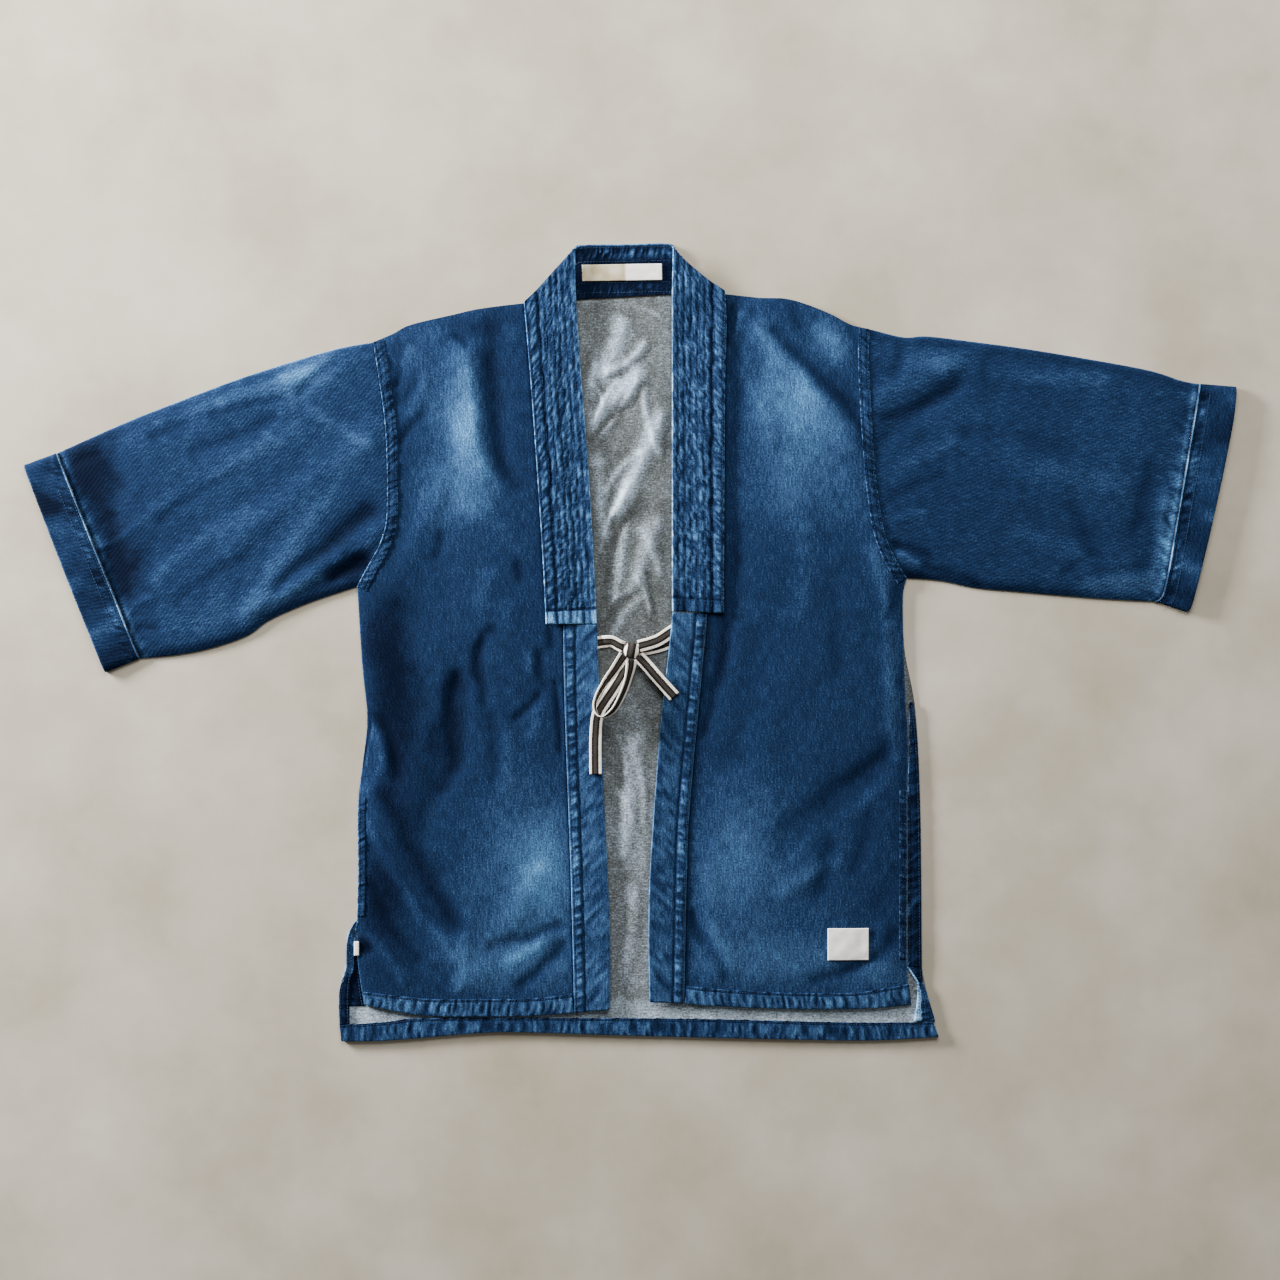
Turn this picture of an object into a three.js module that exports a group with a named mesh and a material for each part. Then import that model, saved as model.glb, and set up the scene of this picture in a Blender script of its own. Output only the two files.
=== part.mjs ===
// A denim kimono jacket laid out flat, face up, with its tie tapes in a bow.
// Millimetres. +X is towards the wearer's left, +Y towards the neck and +Z up from the surface it lies on.
// The origin is on that surface, under the middle of the outline.
import * as THREE from "three";

// Driving dimensions: cloth, seams and the height the layers keep.
const CLOTH = 1.0; // one layer of washed denim
const GAP = 0.3; // between pieces at a seam, and between layers
const BAND = 2.0; // front bands, two layers
const COLLAR = 2.2; // collar strip, two layers and its seam allowances
const CUFF = 1.7; // turned cuff, wall of two layers
const TURNED = 1.5; // hem and vent allowances turned to the inside
const LABEL = 1.0; // woven labels, sewn down
const TAPE = { width: 12, thick: 1.0 }; // woven tie tape
const PUFF = 2.2; // how far the top layer stands off the back between its edges
const MOST_LIFT = 3.5; // the highest fold of the top layer
const RIM_RUN = 12; // over this distance the top layer rises from a side fold or seam
const CALM_RUN = 60; // and over this distance from the stiff bands and hems
const CALM_SHARE = 0.35; // what is left of the puff at the bands and hems
const ROLL = 9; // run of the rounded roll along a sleeve's fold
const FLOOR_ROLL = 2; // run of the same roll on the underside
const FELL = { width: 11, rise: 0.8 }; // felled armhole seam, on the body side
const HEM_DEPTH = 18; // front hems
const HEM_RISE = 0.9; // thickness that the turned hem adds
const RIB_RISE = 0.8; // swell between the stitched rows of the collar
const RIB_EDGES = [0, 0.25, 0.44, 0.63, 0.82, 1]; // stitched rows, as shares of the collar's width
const OVERLAP_END = 0.4; // share of the collar's width that lies on the front panel
const FREE_START = 0.7; // from this share on it lies on the back panel
const NECK_RISE = { from: 50, to: 8, height: 1.3 }; // its climb onto the collar behind the neck
const SLEEVE_GAP = 0.4; // sideways gap at the armhole and cuff seams
const FRONT_BASE = CLOTH + GAP; // underside of the top layer where it lies on the back

const DENIM = { color: 0x2f5079, roughness: 0.9, metalness: 0 };
const WORN_DENIM = { color: 0x3d6488, roughness: 0.9, metalness: 0 };
const WRONG_SIDE = { color: 0x9a9c9e, roughness: 0.95, metalness: 0 };
const WHITE_LABEL = { color: 0xe9e6dc, roughness: 0.8, metalness: 0 };
const STRIPED_TAPE = { color: 0x4a4744, roughness: 0.85, metalness: 0 };

const table = (columns, rows) =>
  rows.map((row) =>
    Object.fromEntries(columns.split(" ").map((name, i) => [name, row[i]])),
  );
const at = (rows) => table("x y", rows);

// Seam lines and outlines in plan. "right" and "left" are the wearer's, so right is at -X.
const EDGES = {
  right: {
    shoulder: at([
      [-257, 300.5], [-238, 308.5], [-219, 318], [-177, 328], [-150, 334],
      [-106, 339.5], [-89, 340.2],
    ]),
    armhole: at([
      [-257, 300.5], [-251, 264], [-244, 208], [-243, 130], [-249, 101],
      [-262, 77], [-273, 56],
    ]),
    side: at([
      [-273, 56], [-268, -22], [-263, -75], [-267, -118], [-272, -160],
      [-272, -235], [-273, -310], [-266, -362],
    ]),
    hem: at([
      [-266, -362], [-244, -367], [-200, -373.5], [-126, -374], [-85, -372.5],
      [-56, -370],
    ]),
    bandSeam: at([
      [-89, 340.2], [-81.5, 251], [-71, 98], [-67, 17.8], [-65.5, -65],
      [-60, -217], [-57.5, -304], [-56, -370],
    ]),
    frontEdge: at([[-33, 18.2], [-30, -66], [-23, -217], [-20, -287], [-20, -367]]),
    collarFold: at([[-106, 340.2], [-93, 352.5], [-70, 377.5], [-54.5, 394]]),
    collarSeam: at([[-106, 340.2], [-98.5, 251], [-88, 98], [-84, 18.5]]),
    collarEdge: at([[-54.5, 394], [-54, 347], [-49, 270], [-43, 194], [-38, 117], [-33, 18.5]]),
    sleeveTop: at([
      [-257.4, 299], [-293, 294], [-335, 282], [-391, 264], [-447, 243],
      [-503, 221], [-572.5, 190],
    ]),
    sleeveUnder: at([
      [-273.4, 56], [-321, 40], [-360, 23], [-383, 7], [-417, -5],
      [-450, -12], [-490, -16],
    ]),
    cuffSeam: at([[-572.5, 190], [-532, 88], [-490, -16]]),
    cuffEdge: at([[-606.5, 177.5], [-566, 72], [-525, -30]]),
  },
  left: {
    shoulder: at([
      [240, 313.5], [221, 318], [202, 328], [179, 337.5], [156, 344],
      [129, 345], [95, 348.5], [78, 348.6],
    ]),
    armhole: at([
      [240, 313.5], [239, 278.5], [243.5, 194.5], [247.5, 152], [254.5, 110],
      [266, 82], [277, 64.5],
    ]),
    side: at([
      [277, 64.5], [273, 42.5], [275, -45], [278, -100], [277, -148],
      [277, -217], [277, -325], [281.5, -362],
    ]),
    hem: at([
      [281.5, -362], [253, -365], [221, -366.5], [169, -366.5], [116, -365],
      [74, -363], [54.5, -361],
    ]),
    bandSeam: at([
      [78, 348.6], [77.5, 251], [77, 98], [77.5, 29], [71, -44],
      [60, -165], [57, -235], [54.5, -361],
    ]),
    frontEdge: at([
      [42.5, 30.2], [38.5, -10], [30, -88], [20.5, -217], [18.5, -287],
      [19.5, -359.5],
    ]),
    collarFold: at([[95, 351.3], [75.5, 364.5], [53, 383.5], [43, 395]]),
    collarSeam: at([[95, 351.3], [96.5, 316], [95, 251], [94, 98], [94, 29.5]]),
    collarEdge: at([[43, 395], [42, 347], [42, 270], [42, 60], [42.5, 31]]),
    sleeveTop: at([
      [240.4, 312.5], [274, 305.5], [297, 306.5], [344, 301], [409, 292],
      [512, 274], [552, 262], [569, 259],
    ]),
    sleeveUnder: at([[277.4, 64.5], [310, 62], [344, 55], [386, 51], [470, 44], [525, 41]]),
    cuffSeam: at([[569, 259], [563, 222], [546.5, 124], [534, 54], [525, 41]]),
    cuffEdge: at([[606.5, 256], [602, 216], [583, 124], [563, 42], [556, 30.5]]),
  },
};

// The back panel reaches past the fronts at the vents, and past the left side seam.
const BACK = {
  neckMiddle: { x: -6, y: 345 },
  rightSide: at([
    [-273, 56], [-268, -22], [-263, -75], [-270, -140], [-272, -182],
    [-274.5, -279], [-290, -347], [-287.5, -399],
  ]),
  leftSide: at([
    [277, 64.5], [273, 42.5], [275, -8], [286, -70], [291, -175],
    [292, -282], [292.5, -327], [309, -394.5],
  ]),
  hem: at([
    [-287.5, -399], [-239, -398], [-155, -391], [-106, -390], [10, -393.5],
    [158, -397], [243, -398], [309, -394.5],
  ]),
  hemTop: at([
    [-286, -382.5], [-245, -379.5], [-200, -375.6], [-45, -375.6], [74, -376.5],
    [221, -380], [303, -379.5],
  ]),
  collarTop: at([[-54.5, 394], [-47, 397.5], [-5, 398.2], [36, 399], [43, 395]]),
};
const VENTS = {
  right: {
    inner: at([[-275, -316], [-279, -347], [-278, -379.5]]),
    outer: at([[-283.5, -316], [-289.4, -347], [-287.8, -381.5]]),
  },
  left: {
    inner: at([[284, -331], [288, -346], [288, -378.5]]),
    outer: at([[293, -331], [298.5, -346], [304.5, -378.5]]),
  },
};
// The left side seam lies on the front, so a strip of the back panel is rolled over its edge.
const RETURN = {
  inner: at([[279, -60], [279.2, -100], [278, -148], [278, -217], [278, -324]]),
  outer: at([[283.4, -60], [287.6, -100], [289.8, -148], [291, -217], [292, -324]]),
};

// Largest folds of the top layer and of the back where it shows: a line, its half width and its height.
const FOLD = "x1 y1 x2 y2 width height";
const TOP_FOLDS = table(FOLD, [
  [-168, 282, -152, 137, 16, 1.6], // right front, chest ridge
  [-152, 137, -105, 92, 14, 1.0],
  [-138, 322, -125, 172, 12, -1.0],
  [-225, 292, -235, 232, 9, -0.9],
  [-240, 52, -185, 162, 14, 1.0], // drag line from the underarm
  [-230, 22, -235, -118, 22, -1.1],
  [-175, -48, -205, -188, 13, -0.9],
  [-262, -148, -150, -288, 16, 1.4], // ridge that runs down from the pocket mouth
  [-258, -208, -200, -283, 14, -1.2],
  [-90, -228, -160, -343, 14, 0.9],
  [122, 328, 220, 202, 14, 1.5], // left front, ridge off the shoulder
  [182, 312, 228, 242, 9, -0.8],
  [145, 242, 170, 122, 20, 0.9],
  [265, 52, 220, 162, 12, 0.9],
  [130, 2, 105, -118, 14, -0.8],
  [273, -100, 160, -200, 18, -1.0],
  [255, -257, 220, -332, 12, -0.8],
  [80, -207, 85, -337, 12, 0.7],
  [38, 11, 52, 8, 16, 1.9], // left band, over the tapes that run under it
  [-278, 286, -430, 227, 14, 1.0], // right sleeve
  [-246, 115, -380, 30, 9, 1.3],
  [-265, 82, -310, 57, 10, -1.1],
  [-254, 212, -400, 97, 14, 0.9],
  [-330, 172, -480, 82, 16, -0.6],
  [-518, 210, -510, 42, 13, -1.0],
  [246, 197, 335, 266, 9, -1.0], // left sleeve
  [250, 242, 355, 297, 13, 1.0],
  [270, 82, 320, 57, 9, 1.1],
  [330, 52, 500, 82, 16, 0.8],
  [535, 122, 520, 42, 10, -0.8],
  [370, 192, 490, 122, 20, 0.7],
]);
const BACK_FOLDS = table(FOLD, [
  [-44, 215, 8, 268, 8, 2.0],
  [-10, 132, 32, 225, 8, 1.8],
  [-26, 268, -6, 318, 9, 1.4],
  [-28, 110, -34, 180, 7, 1.6],
  [6, 60, 26, 118, 8, 1.4],
  [-14, 48, -4, 112, 7, 1.2],
  [4, -100, -6, -210, 9, 1.2],
]);
const BACK_CALM = 12; // the back lies flat from this far inside the front edges

// Tie tapes: points down the middle, and how far the tape is turned on edge, in degrees.
const ROUTE = "x y z turn";
const TIES = {
  right_tie_strand: table(ROUTE, [
    [-41, -1, 1.8, 0],
    [-31.7, 0.1, 2.0, 0],
    [-19, 1.3, 4.2, 22],
    [-11, -2.6, 5.0, 24],
    [-6.4, -4.6, 5.0, 15],
  ]),
  left_tie_strand: table(ROUTE, [
    [49, 15.6, 3.1, 0],
    [41, 10.6, 3.2, 0],
    [27, 1.7, 4.4, 0],
    [8.8, -3.8, 5.0, 0],
  ]),
  under_bow_loop: table(ROUTE, [
    [45, 2.5, 1.8, 0],
    [33, -2.5, 1.8, 0],
    [22, -5.5, 1.8, 0],
    [8.2, -7.6, 1.9, 0],
  ]),
  bow_loop: table(ROUTE, [
    [-5.6, -13.2, 6.4, -20],
    [-15, -27, 8.2, -35],
    [-26, -43, 10.2, -50],
    [-33.5, -58, 12.2, -60],
    [-33.5, -70, 13.2, -75],
    [-27, -74.5, 13.4, -88],
    [-17, -69, 12.0, -92],
    [-8, -54, 9.6, -96],
    [-2, -37, 8.8, -112],
    [1.0, -24, 9.6, -135],
    [1.2, -17.6, 9.8, -145],
  ]),
  long_tie_tail: table(ROUTE, [
    [-1, -17.2, 2.4, 0],
    [-9, -34, 1.9, 0],
    [-19, -50, 4.0, 0],
    [-25, -59, 5.9, 0],
    [-32, -72, 6.2, 0],
    [-34.4, -96, 6.0, 0],
    [-34.3, -131.5, 6.0, 0],
  ]),
  short_tie_tail: table(ROUTE, [
    [8.6, -14.2, 4.5, 0],
    [16.5, -22.5, 5.0, 0],
    [30, -38, 6.1, 0],
    [44.5, -54, 6.1, 0],
  ]),
};
const KNOT = { x: 1.5, y: -8, z: 4.9, width: 15, length: 17, height: 6.8 };

const clamp = THREE.MathUtils.clamp;
const mix = THREE.MathUtils.lerp;
const smooth = (t) => THREE.MathUtils.smoothstep(t, 0, 1);
const between = (low, high, t) => smooth((t - low) / (high - low));

// A smooth line through the rows of each table in turn, with a corner where one ends and the next starts.
function line(...legs) {
  const path = new THREE.CurvePath();
  for (const leg of legs)
    path.add(
      new THREE.SplineCurve(leg.map(({ x, y }) => new THREE.Vector2(x, y))),
    );
  return path;
}

const even = (count) => Array.from({ length: count + 1 }, (_, i) => i / count);

// Steps along an armhole and across a sleeve, the same on every piece so that the seams match.
const ARMHOLE_STEPS = [0, 0.02, 0.05, ...even(10).slice(1, -1), 0.95, 0.98, 1];

// Where the rows of a panel cross its outer side: the armhole's own steps, then equal ones down the side.
function panelRows(path, sideRows) {
  const [armhole, whole] = path.getCurveLengths();
  const below = even(sideRows).slice(1);
  return [
    ...ARMHOLE_STEPS.map((s) => (s * armhole) / whole),
    ...below.map((s) => mix(armhole, whole, s) / whole),
  ];
}

// A panel's plan from its four edges: u runs from start to end, and v from first to last.
function patch({ start, end, first, last }) {
  const corner = (u, v) => (v ? last : first).getPoint(u);
  return (u, v) => {
    const sides = start.getPoint(v).multiplyScalar(1 - u);
    const ends = first.getPoint(u).multiplyScalar(1 - v);
    return sides
      .addScaledVector(end.getPoint(v), u)
      .add(ends)
      .addScaledVector(last.getPoint(u), v)
      .addScaledVector(corner(0, 0), -(1 - u) * (1 - v))
      .addScaledVector(corner(1, 0), -u * (1 - v))
      .addScaledVector(corner(0, 1), -(1 - u) * v)
      .addScaledVector(corner(1, 1), -u * v);
  };
}

function segmentDistance(p, x1, y1, x2, y2) {
  const dx = x2 - x1;
  const dy = y2 - y1;
  const t = clamp(
    ((p.x - x1) * dx + (p.y - y1) * dy) / (dx * dx + dy * dy),
    0,
    1,
  );
  return Math.hypot(p.x - x1 - t * dx, p.y - y1 - t * dy);
}

function lineDistance(p, points) {
  let nearest = Infinity;
  for (let i = 1; i < points.length; i++) {
    const [a, b] = [points[i - 1], points[i]];
    nearest = Math.min(nearest, segmentDistance(p, a.x, a.y, b.x, b.y));
  }
  return nearest;
}

const LINE_STEPS = 24;
const sampled = (rows) => line(rows).getPoints(LINE_STEPS);
const OUTLINES = {};
const STIFF_LINES = {};
for (const [side, e] of Object.entries(EDGES)) {
  OUTLINES[side] = [e.shoulder, e.side, e.sleeveTop, e.sleeveUnder].map(sampled);
  STIFF_LINES[side] = [e.bandSeam, e.hem, e.cuffSeam].map(sampled);
}
const nearestOf = (p, lines) =>
  Math.min(...lines.map((points) => lineDistance(p, points)));

function folds(p, rows) {
  let sum = 0;
  for (const { x1, y1, x2, y2, width, height } of rows)
    sum +=
      height * Math.exp(-((segmentDistance(p, x1, y1, x2, y2) / width) ** 2));
  return sum;
}

// How far the top layer's underside stands above its lowest place.
function lift(p, side) {
  const rim = 1 - Math.exp(-nearestOf(p, OUTLINES[side]) / RIM_RUN);
  const calm = mix(
    CALM_SHARE,
    1,
    smooth(nearestOf(p, STIFF_LINES[side]) / CALM_RUN),
  );
  const height = rim * (PUFF * calm + folds(p, TOP_FOLDS));
  return clamp(height, 0, MOST_LIFT);
}

const RIGHT_FREE_EDGE = [
  ...sampled(EDGES.right.collarEdge),
  ...sampled(EDGES.right.frontEdge),
];
const LEFT_FREE_EDGE = [
  ...sampled(EDGES.left.collarEdge),
  ...sampled(EDGES.left.frontEdge),
];

// Folds of the back panel, in the strip that shows between the front edges.
function backLift(p) {
  const rightEdge = lineDistance(p, RIGHT_FREE_EDGE);
  const leftEdge = lineDistance(p, LEFT_FREE_EDGE);
  const edgeX = (edge) =>
    edge.reduce((a, b) => (Math.abs(a.y - p.y) < Math.abs(b.y - p.y) ? a : b))
      .x;
  const inStrip = p.x > edgeX(RIGHT_FREE_EDGE) && p.x < edgeX(LEFT_FREE_EDGE);
  if (!inStrip) return 0;
  return (
    smooth(rightEdge / BACK_CALM) *
    smooth(leftEdge / BACK_CALM) *
    folds(p, BACK_FOLDS)
  );
}

// A closed mesh from points and four-sided faces, turned face out if its volume is negative.
function closedMesh(points, quads) {
  const index = quads.flatMap(([a, b, c, d]) => [a, b, c, a, c, d]);
  let volume = 0;
  for (let i = 0; i < index.length; i += 3) {
    const [a, b, c] = [index[i], index[i + 1], index[i + 2]].map(
      (k) => points[k],
    );
    volume += a.dot(b.clone().cross(c));
  }
  if (volume < 0) index.reverse();
  const geometry = new THREE.BufferGeometry().setFromPoints(points);
  geometry.setIndex(index);
  geometry.computeVertexNormals();
  return geometry;
}

// A wall of cloth: a grid over the plan, with an underside and an outer side.
function wall({ columns, rows, place, under, over }) {
  const points = [];
  const layers = [over, under].map((height) =>
    rows.map((v) =>
      columns.map((u) => {
        const p = place(u, v);
        return points.push(new THREE.Vector3(p.x, p.y, height(p, u, v))) - 1;
      }),
    ),
  );
  const [top, bottom] = layers;
  const quads = [];
  const [lastRow, lastColumn] = [rows.length - 1, columns.length - 1];
  for (let j = 0; j < lastRow; j++)
    for (let i = 0; i < lastColumn; i++) {
      quads.push([top[j][i], top[j + 1][i], top[j + 1][i + 1], top[j][i + 1]]);
      quads.push([
        bottom[j][i],
        bottom[j][i + 1],
        bottom[j + 1][i + 1],
        bottom[j + 1][i],
      ]);
    }
  const rim = (a, b) =>
    quads.push([top[a[0]][a[1]], top[b[0]][b[1]], bottom[b[0]][b[1]], bottom[a[0]][a[1]]]);
  for (let i = 0; i < lastColumn; i++) {
    rim([0, i], [0, i + 1]);
    rim([lastRow, i + 1], [lastRow, i]);
  }
  for (let j = 0; j < lastRow; j++) {
    rim([j + 1, 0], [j, 0]);
    rim([j, lastColumn], [j + 1, lastColumn]);
  }
  return closedMesh(points, quads);
}

const quarterRound = (t) => (t >= 1 ? 1 : Math.sqrt(1 - (1 - t) ** 2));

// A flattened tube of cloth, open at both ends: s runs along it, and t across from fold to fold.
function flatTube({ along, place, thick, height }) {
  const middle = thick + GAP / 2;
  const points = [];
  const ring = (s, inset) => {
    const width = place(s, 0).distanceTo(place(s, 1));
    const share = inset / width;
    const spot = (t, upper) => {
      const p = place(s, mix(share, 1 - share, t));
      const fromFold = Math.min(t, 1 - t) * (width - 2 * inset);
      const level = upper ? height(p) - inset : inset;
      const roll = quarterRound(fromFold / (upper ? ROLL : FLOOR_ROLL));
      return points.push(new THREE.Vector3(p.x, p.y, mix(middle, level, roll))) - 1;
    };
    const upper = ARMHOLE_STEPS.map((t) => spot(t, true));
    const lower = ARMHOLE_STEPS.slice(1, -1).map((t) => spot(1 - t, false));
    return [...upper, ...lower];
  };
  const outer = along.map((s) => ring(s, 0));
  const inner = along.map((s) => ring(s, thick));
  const quads = [];
  const count = outer[0].length;
  for (let k = 0; k < count; k++) {
    const next = (k + 1) % count;
    for (let j = 1; j < along.length; j++) {
      quads.push([outer[j - 1][k], outer[j][k], outer[j][next], outer[j - 1][next]]);
      quads.push([inner[j - 1][next], inner[j][next], inner[j][k], inner[j - 1][k]]);
    }
    const end = along.length - 1;
    quads.push([outer[0][next], inner[0][next], inner[0][k], outer[0][k]]);
    quads.push([outer[end][k], inner[end][k], inner[end][next], outer[end][next]]);
  }
  return closedMesh(points, quads);
}

const group = new THREE.Group();
function add(name, geometry, material) {
  const mesh = new THREE.Mesh(geometry, new THREE.MeshStandardMaterial(material));
  mesh.name = name;
  group.add(mesh);
}

const moved = (rows, dx, dy = 0) =>
  rows.map(({ x, y }) => ({ x: x + dx, y: y + dy }));
const SIGN = { right: -1, left: 1 };

// Columns of the back panel, close together where it shows between the fronts.
const BACK_COLUMNS = [
  ...[0, 0.11, 0.22, 0.31, 0.38],
  ...[0.42, 0.45, 0.48, 0.51, 0.54, 0.57, 0.61],
  ...[0.7, 0.8, 0.9, 1],
];
const SIDE_ROWS = 17; // rows of each body panel below the armhole

// The whole back, with the neck seam between the two shoulder seams.
function backPanel() {
  const [rightShoulder, leftShoulder] = ["right", "left"].map((side) =>
    EDGES[side].shoulder.slice(0, -1),
  );
  const neck = [rightShoulder.at(-1), BACK.neckMiddle, leftShoulder.at(-1)];
  const outer = line(EDGES.right.armhole, BACK.rightSide);
  add(
    "back_panel",
    wall({
      columns: BACK_COLUMNS,
      rows: panelRows(outer, SIDE_ROWS),
      place: patch({
        start: outer,
        end: line(EDGES.left.armhole, BACK.leftSide),
        first: line(rightShoulder, neck, leftShoulder.reverse()),
        last: line(BACK.hem),
      }),
      under: backLift,
      over: (p) => backLift(p) + CLOTH,
    }),
    WRONG_SIDE,
  );
}

// Columns of a front panel: two close together at the edge of the felled armhole seam.
const FRONT_COLUMNS = [0, 0.05, 0.065, 0.14, 0.22, 0.31, ...even(10).slice(4)];
const HEM_STEP = 2; // run of the step down from the turned hem

// A front panel lies on the back, and is thicker at the felled armhole seam and at its hem.
function frontPanel(side) {
  const e = EDGES[side];
  const outer = line(e.armhole, e.side);
  const length = outer.getLength();
  const hemTop = 1 - HEM_DEPTH / length;
  const rows = panelRows(outer, SIDE_ROWS);
  rows.splice(-2, 1, hemTop - HEM_STEP / length, hemTop);
  const armhole = sampled(e.armhole);
  const under = (p) => FRONT_BASE + lift(p, side);
  const over = (p, u, v) => {
    const fromArmhole = lineDistance(p, armhole);
    const onFell = 1 - between(FELL.width - 1, FELL.width + 1, fromArmhole);
    const onHem = v >= hemTop ? 1 : 0;
    return under(p) + CLOTH + FELL.rise * onFell + HEM_RISE * onHem;
  };
  add(
    `${side}_front_panel`,
    wall({
      columns: FRONT_COLUMNS,
      rows,
      place: patch({
        start: outer,
        end: line(e.bandSeam),
        first: line(e.shoulder),
        last: line(e.hem),
      }),
      under,
      over,
    }),
    DENIM,
  );
}

// A front band runs from the collar's end to the hem, along the front edge.
function frontBand(side) {
  const e = EDGES[side];
  const belowCollar = e.bandSeam.filter(({ y }) => y < e.frontEdge[0].y);
  const seam = line(moved(belowCollar, -SIGN[side] * GAP));
  const edge = line(e.frontEdge);
  const under = (p) => FRONT_BASE + lift(p, side);
  add(
    `${side}_front_band`,
    wall({
      columns: even(4),
      rows: even(24),
      place: patch({
        start: seam,
        end: edge,
        first: line([seam.getPoint(0), edge.getPoint(0)]),
        last: line([seam.getPoint(1), edge.getPoint(1)]),
      }),
      under,
      over: (p) => under(p) + BAND,
    }),
    DENIM,
  );
}

// The collar's front part, swollen between its stitched rows. Its outer part lies on the front panel.
function collarStrip(side) {
  const e = EDGES[side];
  const [seam, edge] = [line(e.collarSeam), line(e.collarEdge)];
  const ribCentres = RIB_EDGES.slice(1).map((to, i) => (to + RIB_EDGES[i]) / 2);
  const columns = [...RIB_EDGES, ...ribCentres].sort((a, b) => a - b);
  const neckY = e.collarSeam[0].y;
  const under = (p, u) => {
    const low = FRONT_BASE + lift(p, side);
    const onPanel = low + CLOTH + GAP;
    const nearNeck = between(neckY - NECK_RISE.from, neckY - NECK_RISE.to, p.y);
    const free = low + nearNeck * NECK_RISE.height;
    return mix(onPanel, free, between(OVERLAP_END, FREE_START, u));
  };
  const over = (p, u) =>
    under(p, u) + COLLAR + (ribCentres.includes(u) ? RIB_RISE : 0);
  add(
    `${side}_collar_strip`,
    wall({
      columns,
      rows: even(30),
      place: patch({
        start: seam,
        end: edge,
        first: line(e.collarFold),
        last: line([e.collarSeam.at(-1), e.collarEdge.at(-1)]),
      }),
      under,
      over,
    }),
    WORN_DENIM,
  );
}

// The same strip behind the neck: it lies on the surface, inner face up, under the tops of the two fronts.
function backNeckCollar() {
  const [right, left] = [EDGES.right.collarFold, EDGES.left.collarFold];
  add(
    "back_neck_collar",
    wall({
      columns: even(14),
      rows: even(4),
      place: patch({
        start: line(moved([right.at(-1), right[0]], 0, GAP)),
        end: line(moved([left.at(-1), left[0]], 0, GAP)),
        first: line(moved(BACK.collarTop, 0, GAP)),
        last: line(moved([right[0], left[0]], 0, GAP)),
      }),
      under: () => 0,
      over: () => COLLAR,
    }),
    WORN_DENIM,
  );
}

// A sleeve is a flattened tube from the armhole to the cuff's seam.
function sleeve(side) {
  const e = EDGES[side];
  const armhole = moved(e.armhole, SIGN[side] * SLEEVE_GAP);
  const plan = patch({
    start: line([armhole[0], ...e.sleeveTop.slice(1)]),
    end: line([armhole.at(-1), ...e.sleeveUnder.slice(1)]),
    first: line(armhole),
    last: line(e.cuffSeam),
  });
  add(
    `${side}_sleeve`,
    flatTube({
      along: even(16),
      place: (s, t) => plan(t, s),
      thick: CLOTH,
      height: (p) => FRONT_BASE + lift(p, side) + CLOTH,
    }),
    DENIM,
  );
}

// A cuff is a flattened tube too, of two layers.
function cuff(side) {
  const e = EDGES[side];
  const seam = moved(e.cuffSeam, SIGN[side] * SLEEVE_GAP);
  const plan = patch({
    start: line([seam[0], e.cuffEdge[0]]),
    end: line([seam.at(-1), e.cuffEdge.at(-1)]),
    first: line(seam),
    last: line(e.cuffEdge),
  });
  add(
    `${side}_cuff`,
    flatTube({
      along: even(4),
      place: (s, t) => plan(t, s),
      thick: CUFF,
      height: (p) => 2 * CUFF + GAP + lift(p, side),
    }),
    DENIM,
  );
}

// A strip of the back's own cloth that is turned up or in, and lies on its inside between two lines.
function laidStrip(name, inner, outer, { steps, thick }) {
  add(
    name,
    wall({
      columns: even(2),
      rows: even(steps),
      place: patch({
        start: line(inner),
        end: line(outer),
        first: line([inner[0], outer[0]]),
        last: line([inner.at(-1), outer.at(-1)]),
      }),
      under: () => FRONT_BASE,
      over: () => FRONT_BASE + thick,
    }),
    DENIM,
  );
}

const LABEL_STEP = 14; // spacing of the points over a label

// A rectangular label, laid on the surface whose height is given.
function label(name, { x, y, width, length, turn }, surface) {
  const angle = THREE.MathUtils.degToRad(turn);
  const place = (u, v) =>
    new THREE.Vector2((u - 0.5) * width, (0.5 - v) * length)
      .rotateAround(new THREE.Vector2(), angle)
      .add(new THREE.Vector2(x, y));
  const under = (p) => surface(p) + GAP;
  const steps = (size) => Math.max(1, Math.round(size / LABEL_STEP));
  add(
    name,
    wall({
      columns: even(steps(width)),
      rows: even(steps(length)),
      place,
      under,
      over: (p) => under(p) + LABEL,
    }),
    WHITE_LABEL,
  );
}

const TAPE_STEPS = 3; // sections between two rows of a route

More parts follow.
